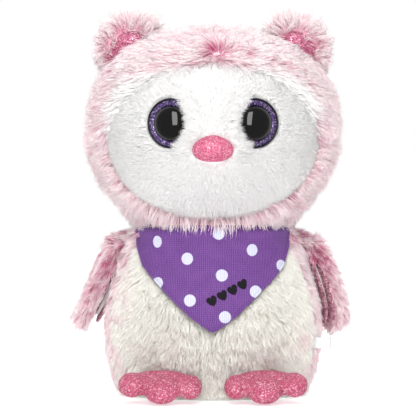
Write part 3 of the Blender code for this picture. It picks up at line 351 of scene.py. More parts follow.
def ease(low, high, value):
    t = np.clip((value - low) / (high - low), 0, 1)
    return t * t * (3 - 2 * t)


def wander(points, scale, seed, flow=None, stretch=0.7):
    """Smooth random values from -1 to 1, over scale millimetres, drawn out along flow."""
    if flow is not None:
        points = points - stretch * (points * flow).sum(1, keepdims=True) * flow
    rng = np.random.default_rng(seed)
    total = np.zeros(len(points))
    for _ in range(9):
        wave = rng.normal(size=3)
        total += np.sin(points @ wave * (2.2 / (scale * MM)) + rng.random() * 6.283)
    return np.clip(total / 3.4, -1, 1)


def drift(points, scale, seed):
    """Smooth random vectors."""
    return np.stack([wander(points, scale, seed + i) for i in range(3)], 1)


def patches(low, high, points, scale, seed, *flow):
    """Soft random patches, from 0 to 1. The higher low and high are, the fewer there are."""
    return ease(low, high, wander(points, scale, seed, *flow) * 0.5 + 0.5)


def vectors(x, y, z):
    return np.stack(np.broadcast_arrays(x, y, z), 1)


# --- Fur

LONG_STEPS = np.array([0.0, 0.38, 0.72, 1.0])
SHORT_STEPS = np.array([0.0, 0.55, 1.0])
MOST_TRIANGLES = 195_000  # in one piece
FLOOR_GAP = 0.4 * MM


def nearest(points, centres):
    tree = kdtree.KDTree(len(centres))
    for i, centre in enumerate(centres):
        tree.insert(centre, i)
    tree.balance()
    return np.array([tree.find(p)[1] for p in points])


def strand_paths(roots, normals, flow, length, rise, lie, steps):
    """Points (strand, step, 3) of strands that leave at angle rise from the surface's normal
    and end at angle lie from it, leaning along flow."""
    paths = np.empty((len(roots), len(steps), 3))
    paths[:, 0] = roots
    for i in range(1, len(steps)):
        share = (steps[i] + steps[i - 1]) / 2
        angle = (rise + (lie - rise) * share)[:, None]
        step = (steps[i] - steps[i - 1]) * length[:, None]
        paths[:, i] = paths[:, i - 1] + step * (np.cos(angle) * normals + np.sin(angle) * flow)
    return paths


def fur(name, body, roots, normals, flow, shade, look, length, width, rise, lie, tuft, gather,
        stray, seed, steps=LONG_STEPS):
    """Strands on these roots, in as many pieces as they need. shade(roots, flow, share, chance)
    gives colours (strand, step, 3). Strands lean alike within a tuft, and gather to its middle.
    Lengths, widths and tufts are in millimetres, rise and lie in degrees."""
    rng = np.random.default_rng(seed)
    count = len(roots)
    length = np.broadcast_to(length, count) * MM * rng.uniform(0.8, 1.1, count)
    rise = np.radians(np.broadcast_to(rise, count) + rng.normal(0, 8, count))
    lie = np.radians(np.broadcast_to(lie, count) + rng.normal(0, 8, count))
    area = np.pi * (tuft * MM) ** 2 / 4
    density = count / max(spread_area(roots), 1e-9)
    tufts = rng.choice(count, max(2, int(count / max(1.0, density * area))), False)
    mine = nearest(roots, roots[tufts])
    lean = rng.normal(0, stray, (len(tufts), 3))[mine] + rng.normal(0, 0.14, (count, 3))
    bent = along(flow + lean, normals)
    paths = strand_paths(roots, normals, bent, length, rise, lie, steps)
    pull = gather * steps[None, :, None] ** 1.3 * rng.uniform(0.5, 1.3, (count, 1, 1))
    paths += (paths[tufts][mine] - paths) * np.clip(pull, 0, 0.95)
    paths[:, :, 2] = np.maximum(paths[:, :, 2], FLOOR_GAP)

    colours = shade(roots, flow, steps, rng.random(count))
    colours = np.clip(np.broadcast_to(colours, (count, len(steps), 3)), 0, 1)
    width = np.broadcast_to(width, count) * MM
    per = 6 * (len(steps) - 2) + 3
    pieces = max(1, ceil(count * per / MOST_TRIANGLES))
    turn = np.arctan2(roots[:, 0] - roots[:, 0].mean(), AXIS.y - roots[:, 1])
    order = np.argsort(turn, kind="stable")
    for i, part in enumerate(np.array_split(order, pieces)):
        label = name if pieces == 1 else f"{name}_{i + 1}"
        strand_mesh(label, body, paths[part], normals[part], width[part], colours[part], look,
                    steps)


def spread_area(roots):
    """About how large an area the roots stand on, from how many share a small cell."""
    cell = 4 * MM
    keys = np.unique(np.floor(roots / cell).astype(int), axis=0)
    return len(keys) * cell ** 2 * 0.72


def strand_mesh(name, body, paths, normals, width, colours, look, steps):
    """Every strand as a three-sided prism that ends in a point."""
    count, levels = paths.shape[:2]
    taper = np.interp(steps, [0, 0.4, 0.8, 1], [0.9, 1.0, 0.66, 0.2])
    ahead = unit(np.gradient(paths, axis=1))
    side = unit(np.cross(ahead, normals[:, None, :]))
    up = unit(np.cross(side, ahead))
    per = 3 * (levels - 1) + 1
    turns = 2 * pi * np.arange(3) / 3 + pi / 2
    across, above = np.cos(turns)[:, None], np.sin(turns)[:, None]
    spokes = across * side[:, :-1, None] + above * up[:, :-1, None]
    reach = (width[:, None] * taper[:-1] / 2)[:, :, None, None]
    rings = (paths[:, :-1, None] + reach * spokes).reshape(count, -1, 3)
    points = np.concatenate([rings, paths[:, -1:]], 1).astype(np.float32)
    shades = np.ones((count, per, 4), np.float32)
    shades[..., :3] = np.concatenate([np.repeat(colours[:, :-1], 3, 1), colours[:, -1:]], 1)

    faces, cells = [], []
    for i in range(levels - 2):
        low, high = steps[i], steps[i + 1]
        for k in range(3):
            a, b = 3 * i + k, 3 * i + (k + 1) % 3
            left, right = k / 3, (k + 1) / 3
            faces += [(a, b, b + 3), (a, b + 3, a + 3)]
            cells += [((left, low), (right, low), (right, high)),
                      ((left, low), (right, high), (left, high))]
    last = 3 * (levels - 2)
    for k in range(3):
        faces.append((last + k, last + (k + 1) % 3, per - 1))
        cells.append(((k / 3, steps[-2]), ((k + 1) / 3, steps[-2]), ((k + 0.5) / 3, 1.0)))
    faces, cells = np.array(faces), np.array(cells)
    corner = (faces[None] + (np.arange(count) * per)[:, None, None]).reshape(-1)

    mesh = bpy.data.meshes.new(name)
    mesh.vertices.add(count * per)
    mesh.vertices.foreach_set("co", points.reshape(-1))
    mesh.loops.add(len(corner))
    mesh.loops.foreach_set("vertex_index", corner.astype(np.int32))
    mesh.polygons.add(count * len(faces))
    mesh.polygons.foreach_set("loop_start", np.arange(0, len(corner), 3, dtype=np.int32))
    mesh.polygons.foreach_set("use_smooth", np.ones(count * len(faces), bool))
    mesh.attributes.new("pile", "FLOAT_COLOR", "POINT").data.foreach_set(
        "color", shades.reshape(-1))

    # Each strand's colours have a cell of their own in the map.
    grid = ceil(sqrt(count))
    corner_cell = np.stack([np.arange(count) % grid, np.arange(count) // grid], 1) / grid
    inset = 0.15 + 0.7 * cells
    where = corner_cell[:, None, None, :] + inset[None] / grid
    layer = mesh.uv_layers.new(name="OFBake")
    layer.data.foreach_set("uv", where.astype(np.float32).reshape(-1))
    mesh.update()
    mesh.materials.append(look)
    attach(new_object(name, mesh), body)


# --- Colours

FROST = srgb(254, 246, 246)
BLUSH = srgb(250, 224, 228)
ROSE = srgb(240, 184, 200)
DEEP = srgb(214, 118, 154)
MAGENTA = srgb(196, 58, 122)
SNOW = srgb(255, 254, 253)
CREAM = srgb(254, 252, 245)
OAT = srgb(250, 245, 232)


def blended(first, second, share):
    return first + (second - first) * share


def gradient(root, tip, start=0.1, end=0.7):
    """A shade that runs from root to tip between two shares of the strand's length."""
    def shade(_roots, _flow, share, chance):
        at = ease(start, end, share)[None, :, None]
        level = 1 + 0.05 * (chance[:, None, None] - 0.5)
        return blended(root, tip, at) * level
    return shade


def frosted(base, streak, marks, scale, seed, stretch=0.75):
    """Pale fur over deeper roots. Soft streaks follow the flow, base to streak in strength from
    0 to 1, and marks(roots) adds spots of magenta."""
    def shade(roots, flow, share, chance):
        wave = patches(0.45, 0.95, roots, scale, seed, flow, stretch)
        plain = base(roots) if callable(base) else base
        level = plain + streak * wave + 0.16 * (chance - 0.5)
        hot = np.clip(marks(roots) * (0.55 + 0.9 * chance), 0, 1)[:, None, None]
        level = np.clip(level, 0, 1)[:, None, None]
        root = blended(blended(BLUSH, DEEP, level), MAGENTA, hot)
        tip = blended(blended(FROST, ROSE, level * 0.7), MAGENTA, hot * 0.4)
        start = 0.05 + 0.35 * level + 0.3 * hot
        at = ease(0, 1, (share[None, :, None] - start) / 0.5)
        return blended(root, tip, at)
    return shade


# --- Head

def from_eye(points):
    """Each point's distance from the nearer eye's axis, and how far it is to the eye's inner
    side, as a cosine."""
    least, inner = np.full(len(points), 1.0), np.zeros(len(points))
    for side, sign in SIDES:
        axis = np.array([sign * sin(EYE_YAW), -cos(EYE_YAW), 0])
        apart = points - np.array(EYES[side])
        apart = apart - axis * (apart @ axis)[:, None]
        far = np.linalg.norm(apart, axis=1)
        closer = far < least
        least[closer] = far[closer]
        inner[closer] = (-sign * apart[:, 0] / np.maximum(far, 1e-9))[closer]
    return least, inner


def face_fur():
    """White fur that fans out from the nose, and stands over the inner side of each eye."""
    pile, white = pile_look("white_pile"), gradient(SNOW * 0.99, SNOW)
    face = cloth_copy("face_panel", "face_cloth", "head", 1.5,
                      backing_look("white_backing", SNOW * 0.96), puff=0.6)
    low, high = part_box("nose")
    half = (high - low) / 2

    def clear(points, normals):
        facing = (normals * unit(points - np.array(HEAD_CENTRE))).sum(1) > 0.3
        off = np.hypot((points[:, 0] - NOSE.x) / half.x, (points[:, 2] - NOSE.z) / half.z)
        return facing & (from_eye(points)[0] > 11.7 * MM) & (off > 0.9)

    roots, normals = scatter(face, 8.5e6, clear, 11)
    fan = roots - np.array([NOSE.x, NOSE.y - 4 * MM, NOSE.z + 1 * MM])
    fan[:, 1] *= 0.3
    below = ease(0, 30 * MM, NOSE.z - roots[:, 2])[:, None]
    flow = unit(fan) + 0.3 * DOWN * below
    flow += 0.3 * drift(roots, 16, 15)

    # Near an eye's inner side the strands are longer, and lean over the eye.
    far, inner = from_eye(roots)
    over = ease(0.25, 0.75, inner) * ease(17 * MM, 12.4 * MM, far)
    outward = vectors(np.sign(roots[:, 0]), 0.0, 0.0)
    flow = along(flow * (1 - over[:, None]) + 1.4 * outward * over[:, None], normals)
    rim = ease(16 * MM, 12 * MM, far) * (1 - over)
    length = 4.4 + 4.2 * over - 0.5 * rim
    rise = 24 + 6 * over
    lie = 76 - 18 * over
    fur("face_fur", "head", roots, normals, flow, white, pile, length,
        0.21, rise=rise, lie=lie, tuft=2.6, gather=0.12, stray=0.09, seed=12,
        steps=SHORT_STEPS)

    def beside_eye(points, normals):
        far, inner = from_eye(points)
        return clear(points, normals) & (far < 14.6 * MM) & (inner > 0.35)

    roots, normals = scatter(face, 16e6, beside_eye, 13)
    far, inner = from_eye(roots)
    outward = vectors(np.sign(roots[:, 0]), 0.0, 0.35 * wander(roots, 5, 18))
    fur("brow_fur", "head", roots, normals, along(outward, normals),
        white, pile, 6.6 + 2.2 * ease(0.4, 0.95, inner),
        0.24, rise=34, lie=64, tuft=2.2, gather=0.3, stray=0.12, seed=14)


def crown_marks(roots):
    """Magenta at the crown's parting and at two whorls above the face, and a few wisps."""
    across = np.abs(roots[:, 0] - AXIS.x)
    ahead = roots[:, 1] < HEAD_CENTRE.y
    high = ease(FACE_HIGH.z - 6 * MM, FACE_HIGH.z + 1 * MM, roots[:, 2])
    lines = patches(0.5, 0.8, roots * np.array([1.5, 1, 0.45]), 4, 7)
    parting = np.exp(-(across / (7 * MM)) ** 2) * high * lines * ahead
    spots = np.zeros(len(roots))
    for x, z in ((-5.5, 0.5), (-1, 1.2), (1.5, 7), (14, 6), (45.6, -23), (47, -30), (36, -60)):
        apart = np.hypot(roots[:, 0] - AXIS.x - x * MM, roots[:, 2] - FACE_HIGH.z - z * MM)
        spots += np.exp(-(apart / (2.4 * MM)) ** 2) * ahead
    wisps = patches(0.78, 0.95, roots, 5, 19) * 0.45
    return np.clip(parting * 0.5 + spots * 0.9 + wisps * high, 0, 1)


def head_fur():
    """Pink fur parted at the middle of the crown, which hangs over the neck below."""
    pile = pile_look("pink_pile")
    skin = cloth_copy("head_skin", "head_cloth", "head", 1.8,
                      backing_look("pink_backing", blended(ROSE, FROST, 0.5)), puff=1.4)
    centre = np.array(HEAD_CENTRE)

    def outer(points, normals):
        return (normals * unit(points - centre)).sum(1) > 0.3

    roots, normals = scatter(skin, 2.7e6, outer, 21)
    parted = np.tanh((roots[:, 0] - AXIS.x) / (11 * MM))
    low = ease(HEAD_LOW.z + 16 * MM, HEAD_LOW.z + 4 * MM, roots[:, 2])[:, None]
    sweep = vectors(parted, 0.22, -0.5)
    sweep += 0.4 * drift(roots, 11, 25)
    outward = unit((roots - centre) * np.array([1, 1, 0]))
    hang = unit(DOWN + 0.16 * outward + 0.25 * wander(roots, 7, 29)[:, None] * outward)
    flow = along(sweep, normals)
    flow = unit(flow * (1 - low) + hang * low)
    length = 8.0 + 3.8 * low[:, 0] + 1.2 * wander(roots, 6, 31)
    lift = np.abs(roots[:, 0] - AXIS.x) > FACE_HIGH.x - 2 * MM

    def depth(points):
        """How pink the fur is: more so at the head's sides and under its chin."""
        side = ease(34 * MM, 52 * MM, np.abs(points[:, 0] - AXIS.x))
        chin = ease(HEAD_LOW.z + 20 * MM, HEAD_LOW.z + 6 * MM, points[:, 2])
        return 0.05 + 0.16 * side + 0.1 * chin

    pink = frosted(depth, 0.45, crown_marks, 4.2, 5)

    def shade(points, run, share, chance):
        """The white of the face goes on into the fur above it, in a squarer shape."""
        x = (points[:, 0] - AXIS.x) / FACE_HIGH.x
        z = (points[:, 2] - (FACE_LOW.z + FACE_HIGH.z) / 2) / (FACE_HIGH.z - FACE_LOW.z) * 2
        white = ease(1.06, 0.98, (np.abs(x) ** 3.0 + np.abs(z) ** 3.0) ** (1 / 3.0))
        white *= (points[:, 1] < AXIS.y) * ease(-0.1, 0.3, z)
        return blended(pink(points, run, share, chance), SNOW, white[:, None, None])

    fur("head_fur", "head", roots, normals, flow, shade, pile, length, 0.27,
        rise=34 - 6 * lift, lie=82 - 10 * lift, tuft=2.6, gather=0.34, stray=0.17, seed=22)


def ear_fur():
    pile = pile_look("ear_pile")
    backing = backing_look("ear_backing", blended(DEEP, FROST, 0.25))
    lining = glitter_look("ear_glitter", srgb(120, 40, 70), srgb(184, 92, 124),
                          srgb(240, 190, 208), 1700)
    for side, sign in SIDES:
        skin = cloth_copy(f"{side}_ear", f"{side}_ear_cloth", "head", 0.9, backing)
        cloth_copy(f"{side}_ear_lining", f"{side}_ear_pad", "head", 0.7, lining, 4)
        centre = np.array(middle(f"{side}_ear"))
        hollow = np.array(middle(f"{side}_ear_lining"))
        hollow[2] -= 1.2 * MM

        def off_hollow(points):
            return np.linalg.norm((points - hollow) * np.array([1, 0.2, 1]), axis=1)

        def clear(points, normals):
            inside = (points[:, 1] < centre[1]) & (normals[:, 1] < 0.2)
            return ~((off_hollow(points) < 5.4 * MM) & inside)

        roots, normals = scatter(skin, 4.6e6, clear, 51)
        fan = unit((roots - centre) * np.array([1, 0, 1]))
        front = (normals[:, 1] < 0.1) & (roots[:, 1] < centre[1])
        inward = ease(11 * MM, 8 * MM, off_hollow(roots)) * front
        inward *= ease(-4 * MM, 3 * MM, roots[:, 2] - hollow[2])
        to_hollow = unit((hollow - roots) * np.array([1, 0, 1]))
        flow = fan * (1 - inward[:, None]) + 1.6 * to_hollow * inward[:, None]
        flow += 0.5 * drift(roots, 5, 55 + sign)
        flow = along(flow + np.array([0, 0.1, 0.0]), normals)

        upright = np.clip(normals[:, 2], 0, 1)
        inside = np.clip(-sign * normals[:, 0], 0, 1)
        length = 5.4 + 4.2 * upright - 2.2 * inside * (1 - upright)

        def marks(points):
            near = ease(13 * MM, 7 * MM, off_hollow(points)) * (points[:, 1] < centre[1])
            lines = patches(0.42, 0.72, points, 3.2, 57 + sign)
            return near * (0.15 + 0.85 * lines) + 0.08 * lines

        fur(f"{side}_ear_fur", "head", roots, normals, flow,
            frosted(0.04, 0.4, marks, 3.6, 14 + sign), pile, length, 0.25,
            rise=30 - 12 * upright, lie=76 - 34 * upright, tuft=2.6, gather=0.5,
            stray=0.28, seed=52 + sign)


def lathe(name, profile, place, axis, look, node, tip=None):
    """Turns (radius, height) points about an axis through place, in a CAD node's place. The
    outline closes on itself, or on a tip at that height."""
    turn = Vector(axis).to_track_quat("Z", "Y").to_matrix()
    sides = 72
    angles = [2 * pi * k / sides for k in range(sides)]
    points = [place + turn @ Vector((radius * cos(a), radius * sin(a), height))
              for radius, height in profile for a in angles]
    rings = [range(i * sides, (i + 1) * sides) for i in range(len(profile))]
    pairs = zip(rings, rings[1:] + (rings[:1] if tip is None else []))
    faces = [(low[k - 1], high[k - 1], high[k], low[k])
             for low, high in pairs for k in range(sides)]
    if tip is not None:
        points.append(place + turn @ Vector((0, 0, tip)))
        faces += [(rings[-1][k - 1], rings[-1][k], len(points) - 1) for k in range(sides)]
    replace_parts(add_mesh(name, points, faces, "head", look), node)


def eyes():
    """A black rim, a glitter ring that slopes inwards, and a high black dome."""
    black = Look("eye_black", (0.0022, 0.002, 0.002), 0.045, IOR=1.5, Specular_IOR_Level=0.5)
    dust = black.noise(700, 3)
    black.to("Roughness", black.between(dust, 0.35, 0.75, (0.035, 0.06)))
    rim = Look("eye_rim", (0.006, 0.005, 0.007), 0.28, Specular_IOR_Level=0.6)
    rim.bump(rim.noise(900, 2), 0.2, 0.05 * MM)
    ring = Look("eye_glitter", srgb(88, 62, 118), 0.3, Coat_Weight=0.7, Coat_Roughness=0.08)
    flake = ring.red(ring.cells(2300, "Color"))
    ring.to("Base Color", ring.ramp(flake, (0.1, srgb(24, 14, 40)), (0.45, srgb(70, 46, 106)),
                                    (0.75, srgb(120, 92, 158)), (0.95, srgb(222, 206, 240))))
    ring.to("Metallic", ring.between(flake, 0.5, 0.8, (0.3, 0.9)))
    ring.bump(flake, 0.6, 0.16 * MM)
    for side, sign in SIDES:
        axis = (sign * sin(EYE_YAW), -cos(EYE_YAW), 0)
        place = EYES[side]
        low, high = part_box(f"{side}_eye_rim")
        outer = (high.z - low.z) / 2
        hole = outer - 0.9 * MM
        dome = 8.2 * MM
        rise = 5.2 * MM
        base = -3.2 * MM
        edge = [(outer, base), (outer, -0.6 * MM), (outer - 0.2 * MM, 0.1 * MM),
                (outer - 0.55 * MM, 0.4 * MM), (hole, 0.1 * MM), (hole, base)]
        lathe(f"{side}_eye_edge", edge, place, axis, rim.material, f"{side}_eye_rim")
        slope = [(hole, -0.3 * MM), (hole - 0.5 * MM, 0.35 * MM), (dome + 0.5 * MM, 0.5 * MM),
                 (dome - 0.1 * MM, 0.1 * MM), (dome - 0.1 * MM, base), (hole, base)]
        lathe(f"{side}_eye_ring", slope, place, axis, ring.material, f"{side}_iris")
        turns = [pi / 2 * (i / 40) ** 0.7 for i in range(40)]
        cap = [(dome, base)] + [(dome * cos(t), rise * sin(t)) for t in turns]
        lathe(f"{side}_eye_dome", cap, place, axis, black.material, f"{side}_pupil", rise)


def nose():
    """A stuffed glitter nose: wide below, with a low peak above."""
    low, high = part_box("nose")
    half = (high - low) / 2
    look = glitter_look("nose_glitter", srgb(168, 44, 88), srgb(208, 104, 136),
                        srgb(248, 196, 210), 2000, 0.62)
    bm = bmesh.new()
    bmesh.ops.create_icosphere(bm, subdivisions=5, radius=1)
    for vertex in bm.verts:
        x, y, z = vertex.co
        peak = 0.1 * exp(-(x / 0.4) ** 2) * max(z, 0)
        flat = 0.08 * (1 - abs(x)) if z < 0 else 0
        vertex.co = Vector((x * half.x * (1.04 - 0.05 * max(z, 0) ** 2),
                            y * 8.2 * MM,
                            (z * (0.93 - flat) + peak) * half.z))
        vertex.co += Vector((NOSE.x, high.y + 0.5 * MM, NOSE.z))
    obj = from_bmesh("nose_pad", bm, look)
    obj.data.shade_smooth()
    padded_piece(obj, "nose", "head")


# --- Body

def body_fur():
    belly = cloth_copy("belly_panel", "belly_cloth", "torso", 1.6,
                       backing_look("cream_backing", CREAM * 0.94), puff=1.2)
    back = cloth_copy("back_skin", "back_cloth", "torso", 1.6,
                      backing_look("body_backing", blended(ROSE, FROST, 0.35)), puff=1.0)
    label = np.array(middle("sewn_label"))

    def outer(points, normals):
        from_axis = unit((points - np.array(AXIS)) * np.array([1, 1, 0]))
        clear = np.linalg.norm(points - label, axis=1) > 3.2 * MM
        return ((normals * from_axis).sum(1) > 0.25) & (points[:, 2] > 2.6 * MM) & clear

    def clear_belly(points, normals):
        return outer(points, normals) & ~under_neckerchief(points, 0.5 * MM)

    roots, normals = scatter(belly, 3.6e6, clear_belly, 31)
    side = roots[:, 0] / (80 * MM) + 0.5 * wander(roots, 10, 33)
    flow = along(vectors(side, 0.0, -1.0), normals)
    roll = wander(roots * np.array([0.45, 1, 1.3]), 9, 34)
    edge = ease(31 * MM, 42 * MM, np.abs(roots[:, 0]))[:, None, None]

    def shade(points, run, share, chance):
        plain = gradient(OAT, CREAM, 0.0, 0.5)(points, run, share, chance)
        tinted = patches(0.45, 0.9, points, 7, 8)[:, None, None]
        return blended(plain, BLUSH, tinted * edge * 0.7)

    over_feet = ease(BODY_LOW.z + 14 * MM, BODY_LOW.z + 6 * MM, roots[:, 2])
    fur("belly_fur", "torso", roots, normals, flow, shade, pile_look("cream_pile"),
        9.2 + 1.6 * roll + 1.5 * over_feet, 0.25, rise=40 + 9 * roll,
        lie=86 + 6 * roll, tuft=4.5, gather=0.22, stray=0.12, seed=32)

    roots, normals = scatter(back, 1.75e6, outer, 41)
    shoulder = ease(28 * MM, 35 * MM, np.abs(roots[:, 0])) * ease(
        BODY_HIGH.z - 22 * MM, BODY_HIGH.z - 10 * MM, roots[:, 2])
    side = np.sign(roots[:, 0]) * (0.1 + 0.8 * shoulder) + 0.4 * wander(roots, 9, 43)
    flow = along(vectors(side, 0.0, -1.0), normals)

    def marks(points):
        lines = patches(0.55, 0.85, points, 4, 44)
        high = ease(BODY_HIGH.z - 20 * MM, BODY_HIGH.z - 8 * MM, points[:, 2])
        return lines * (0.15 + 0.75 * high)

    fur("back_fur", "torso", roots, normals, flow, frosted(0.2, 0.55, marks, 4.5, 9),
        pile_look("back_pile"), 8.4 + 2 * shoulder, 0.32, rise=34, lie=80,
        tuft=3, gather=0.42, stray=0.22, seed=42)


def wing_axes(side):
    """The wing's middle, and unit vectors down it, across it and out of its furry side."""
    fur_middle, lining_middle = middle(f"{side}_wing_fur"), middle(f"{side}_wing_lining")
    points = np.array([v.co for v in frame["nodes"][f"{side}_wing_fur"].data.vertices])
    spread = np.linalg.eigh(np.cov((points - points.mean(0)).T))[1]
    down = spread[:, 2] * (-1 if spread[2, 2] > 0 else 1)
    out = spread[:, 0]
    out = out * np.sign(out @ np.array(fur_middle - lining_middle))
    return np.array(fur_middle), down, np.cross(down, out), out


def wings():
    """Furry outside, glitter cloth inside, and a sleeve of fur that hides the shoulder."""
    pile = pile_look("wing_pile")
    backing = backing_look("wing_backing", blended(ROSE, FROST, 0.3))
    lining = glitter_look("lining_glitter", srgb(104, 44, 66), srgb(182, 122, 140),
                          srgb(250, 214, 224), 1300, 0.5)
    for side, sign in SIDES:
        centre, down, across, out = wing_axes(side)
        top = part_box(f"{side}_wing_fur")[1].z
        shoulder = Vector((sign * (BODY_HIGH.x - 9.5 * MM), centre[1] - 1 * MM, top - 4.5 * MM))

        def sleeve(bm):
            half = Vector((8.5, 10.5, 6)) * MM
            place = Matrix.Translation(shoulder) @ Matrix.Diagonal((*half, 1))
            bmesh.ops.create_icosphere(bm, subdivisions=3, radius=1, matrix=place)

        body = f"{side}_wing"
        skin = cloth_copy(f"{side}_wing_fur", f"{side}_wing_cloth", body, 1.0, backing, 8,
                          0.3, sleeve)
        skin.data.materials.append(lining)
        for face in skin.data.polygons:  # glitter cloth inside, down from the shoulder
            if np.array(face.normal) @ out < -0.15 and face.center.z < top - 8 * MM:
                face.material_index = 1
        cloth_copy(f"{side}_wing_lining", f"{side}_wing_inside", body, 0.6, lining, 3)

        def clear(points, normals):
            return (normals @ out > -0.35) | (points[:, 2] > top - 11 * MM)

        roots, normals = scatter(skin, 3.3e6, clear, 61)
        offset = roots - centre
        fan = (offset @ across / (15 * MM))[:, None] * across
        flow = down + 0.4 * fan + 0.3 * wander(roots, 8, 63 + sign)[:, None] * across
        flow = along(flow, normals)
        tip = offset @ down

        def marks(points):
            lines = patches(0.4, 0.72, points, 3.4, 65 + sign, down, 0.85)
            high = ease(12 * MM, -16 * MM, (points - centre) @ down)
            return lines * (0.16 + 0.84 * high)

        edge = ease(0.3, -0.2, normals @ out)
        fur(f"{side}_wing_pile", body, roots, normals, flow,
            frosted(0.22, 0.6, marks, 3.8, 16 + sign, 0.85), pile,
            8.4 - 1.6 * edge + 1.4 * ease(8 * MM, 18 * MM, tip), 0.28,
            rise=32, lie=82, tuft=2.8, gather=0.5, stray=0.18, seed=62 + sign)


# --- Neckerchief

# The hanging triangle's outline: heights and half-widths, measured round the body.
CLOTH_HEIGHTS = np.array([32.6, 34, 40, 53, 62.9, 67, 72, 78.4, 82]) * MM
CLOTH_HALVES = np.array([0.2, 3, 11.4, 25.2, 36.8, 39.6, 44, 48, 48]) * MM
CLOTH_STAND = 6.2 * MM  # from the body's skin to the cloth, over the fur
HEM_ACROSS = ((0.1, 0.36), (0.9, 0.5), (1.7, 0.5), (2.3, 0.36))  # insets and lifts, in mm
BAND_RADIUS = 36.4 * MM
BAND_HEIGHT = 77.6 * MM
BAND_GAP = radians(64)  # from straight ahead to each end
DOT_RADIUS = 2.75 * MM
DOT_START = np.array([4.1, 58.8]) * MM
DOT_ROW = np.array([16.1, -7.6]) * MM
DOT_COLUMN = np.array([1.4, -19.1]) * MM
HEARTS_MIDDLE = np.array([7.0, 50.4]) * MM
HEARTS_SLOPE = radians(27.5)
HEARTS_APART = 5.4 * MM
HEARTS_COUNT = 4
HEART_SIZE = 2.15 * MM


def cloth_radius(height):
    """The cloth's distance from the neck's axis, sideways. It rolls in at the neck."""
    half = np.interp(height, BODY_HEIGHTS, BODY_HALVES) + CLOTH_STAND
    half = np.where(height > 58 * MM, np.maximum(half, 40 * MM), half)
    return half - 5 * MM * ease(78 * MM, 82.5 * MM, height)


def cloth_half(height):
    return np.interp(height, CLOTH_HEIGHTS, CLOTH_HALVES, left=0.0)


def under_neckerchief(points, margin=0.0):
    """True for points behind the hanging triangle, in from its edge by margin."""
    turn = np.arctan2(points[:, 0] - AXIS.x, (AXIS.y - points[:, 1]) / BODY_DEPTH)
    across = np.abs(turn) * cloth_radius(points[:, 2])
    inside = across < cloth_half(points[:, 2] - 0.4 * margin) - margin
    return inside & (points[:, 1] < AXIS.y + 8 * MM)


def cloth_look(name):
    """Purple plain weave with pale printed dots, and a row of small stitched hearts."""
    look = Look(name, srgb(130, 88, 154), 0.78, Sheen_Weight=0.15, Sheen_Roughness=0.4,
                Specular_IOR_Level=0.25)
    flat = look.add("Attribute", attribute_name="flat").outputs["Vector"]
    parts = look.add("SeparateXYZ", {0: flat})
    across, up = parts.outputs[0], parts.outputs[1]

    # A point's place in the dots' lattice, counted from the nearest dot.
    grid = np.linalg.inv(np.stack([DOT_ROW, DOT_COLUMN], 1))
    near = []
    for (by_across, by_up), start in zip(grid, grid @ DOT_START):
        count = look.minus(look.weighed(across, by_across, up, by_up), start)
        near.append(look.minus(count, look.maths("ROUND", count)))
    x, y = (look.weighed(near[0], row, near[1], column)
            for row, column in zip(DOT_ROW, DOT_COLUMN))
    far = look.maths("SQRT", look.weighed(x, x, y, y))
    far = look.weighed(far, 1.0, look.noise(900, 2), 0.3 * MM)
    dot = look.between(far, DOT_RADIUS + 0.28 * MM, DOT_RADIUS + 0.05 * MM)

    # The same for the row of hearts: inside one, x² y³ > (x² + y² - 1)³.
    level, slant = cos(HEARTS_SLOPE), sin(HEARTS_SLOPE)
    x, y = look.minus(across, HEARTS_MIDDLE[0]), look.minus(up, HEARTS_MIDDLE[1])
    run, rise = look.weighed(x, level, y, slant), look.weighed(y, level, x, -slant)
    count = look.plus(look.maths("DIVIDE", run, HEARTS_APART), 0.5)
    x = look.times(look.minus(count, look.maths("ROUND", count)), HEARTS_APART / HEART_SIZE)
    y = look.times(rise, 1 / HEART_SIZE)
    xx, yy = look.times(x, x), look.times(y, y)
    ball = look.minus(look.plus(xx, yy), 1.0)
    cube = look.times(ball, look.times(ball, ball))
    inside = look.minus(look.times(look.times(xx, yy), y), cube)
    ends = look.maths("LESS_THAN", look.maths("ABSOLUTE", run), HEARTS_COUNT / 2 * HEARTS_APART)
    heart = look.times(look.between(inside, -0.004, 0.012), ends)

    warp, weft = (look.add("TexWave", {"Vector": flat, "Scale": 360.0, "Distortion": 3.2,
                                       "Detail": 2.0, "Detail Scale": 1.5},
                           bands_direction=way).outputs["Fac"] for way in ("X", "Y"))
    weave = look.weighed(warp, 0.7, weft, 0.3)
    thread = look.add("TexWave", {"Vector": flat, "Scale": 700.0}).outputs["Fac"]
    ground = look.ramp(look.weighed(weave, 0.65, look.noise(160, 3), 0.35),
                       (0.2, srgb(76, 42, 106)), (0.8, srgb(116, 74, 140)))
    paint = look.ramp(weave, (0.0, srgb(168, 168, 190)), (1.0, srgb(204, 204, 218)))
    black = look.ramp(thread, (0.0, srgb(7, 6, 9)), (1.0, srgb(24, 20, 28)))
    look.to("Base Color", look.mix(heart, look.mix(dot, ground, paint), black))
    stitches = look.times(heart, look.plus(2.0, look.times(thread, 0.8)))
    cloth = look.weighed(weave, 0.6, look.noise(500, 3), 0.5)
    look.bump(look.plus(cloth, stitches), 0.45, 0.12 * MM)
    return look.material


def fabric(name, rows, look, thick):
    """A cloth of even thickness over a grid of (point, flat place) rows, and its area."""
    width = len(rows[0])
    faces = [(i * width + j, i * width + j + 1, (i + 1) * width + j + 1, (i + 1) * width + j)
             for i in range(len(rows) - 1) for j in range(width - 1)]
    obj = add_mesh(name, [p for row in rows for p, _ in row], faces, "torso", look)
    flat = obj.data.attributes.new("flat", "FLOAT_VECTOR", "POINT")
    flat.data.foreach_set("vector", [c for row in rows for _, f in row for c in (*f, 0.0)])
    area = sum(p.area for p in obj.data.polygons)
    solid = obj.modifiers.new("thickness", "SOLIDIFY")
    solid.thickness = thick
    solid.offset = 0
    obj.modifiers.new("smooth", "SUBSURF").levels = 1
    apply_modifiers(obj)
    return obj, area


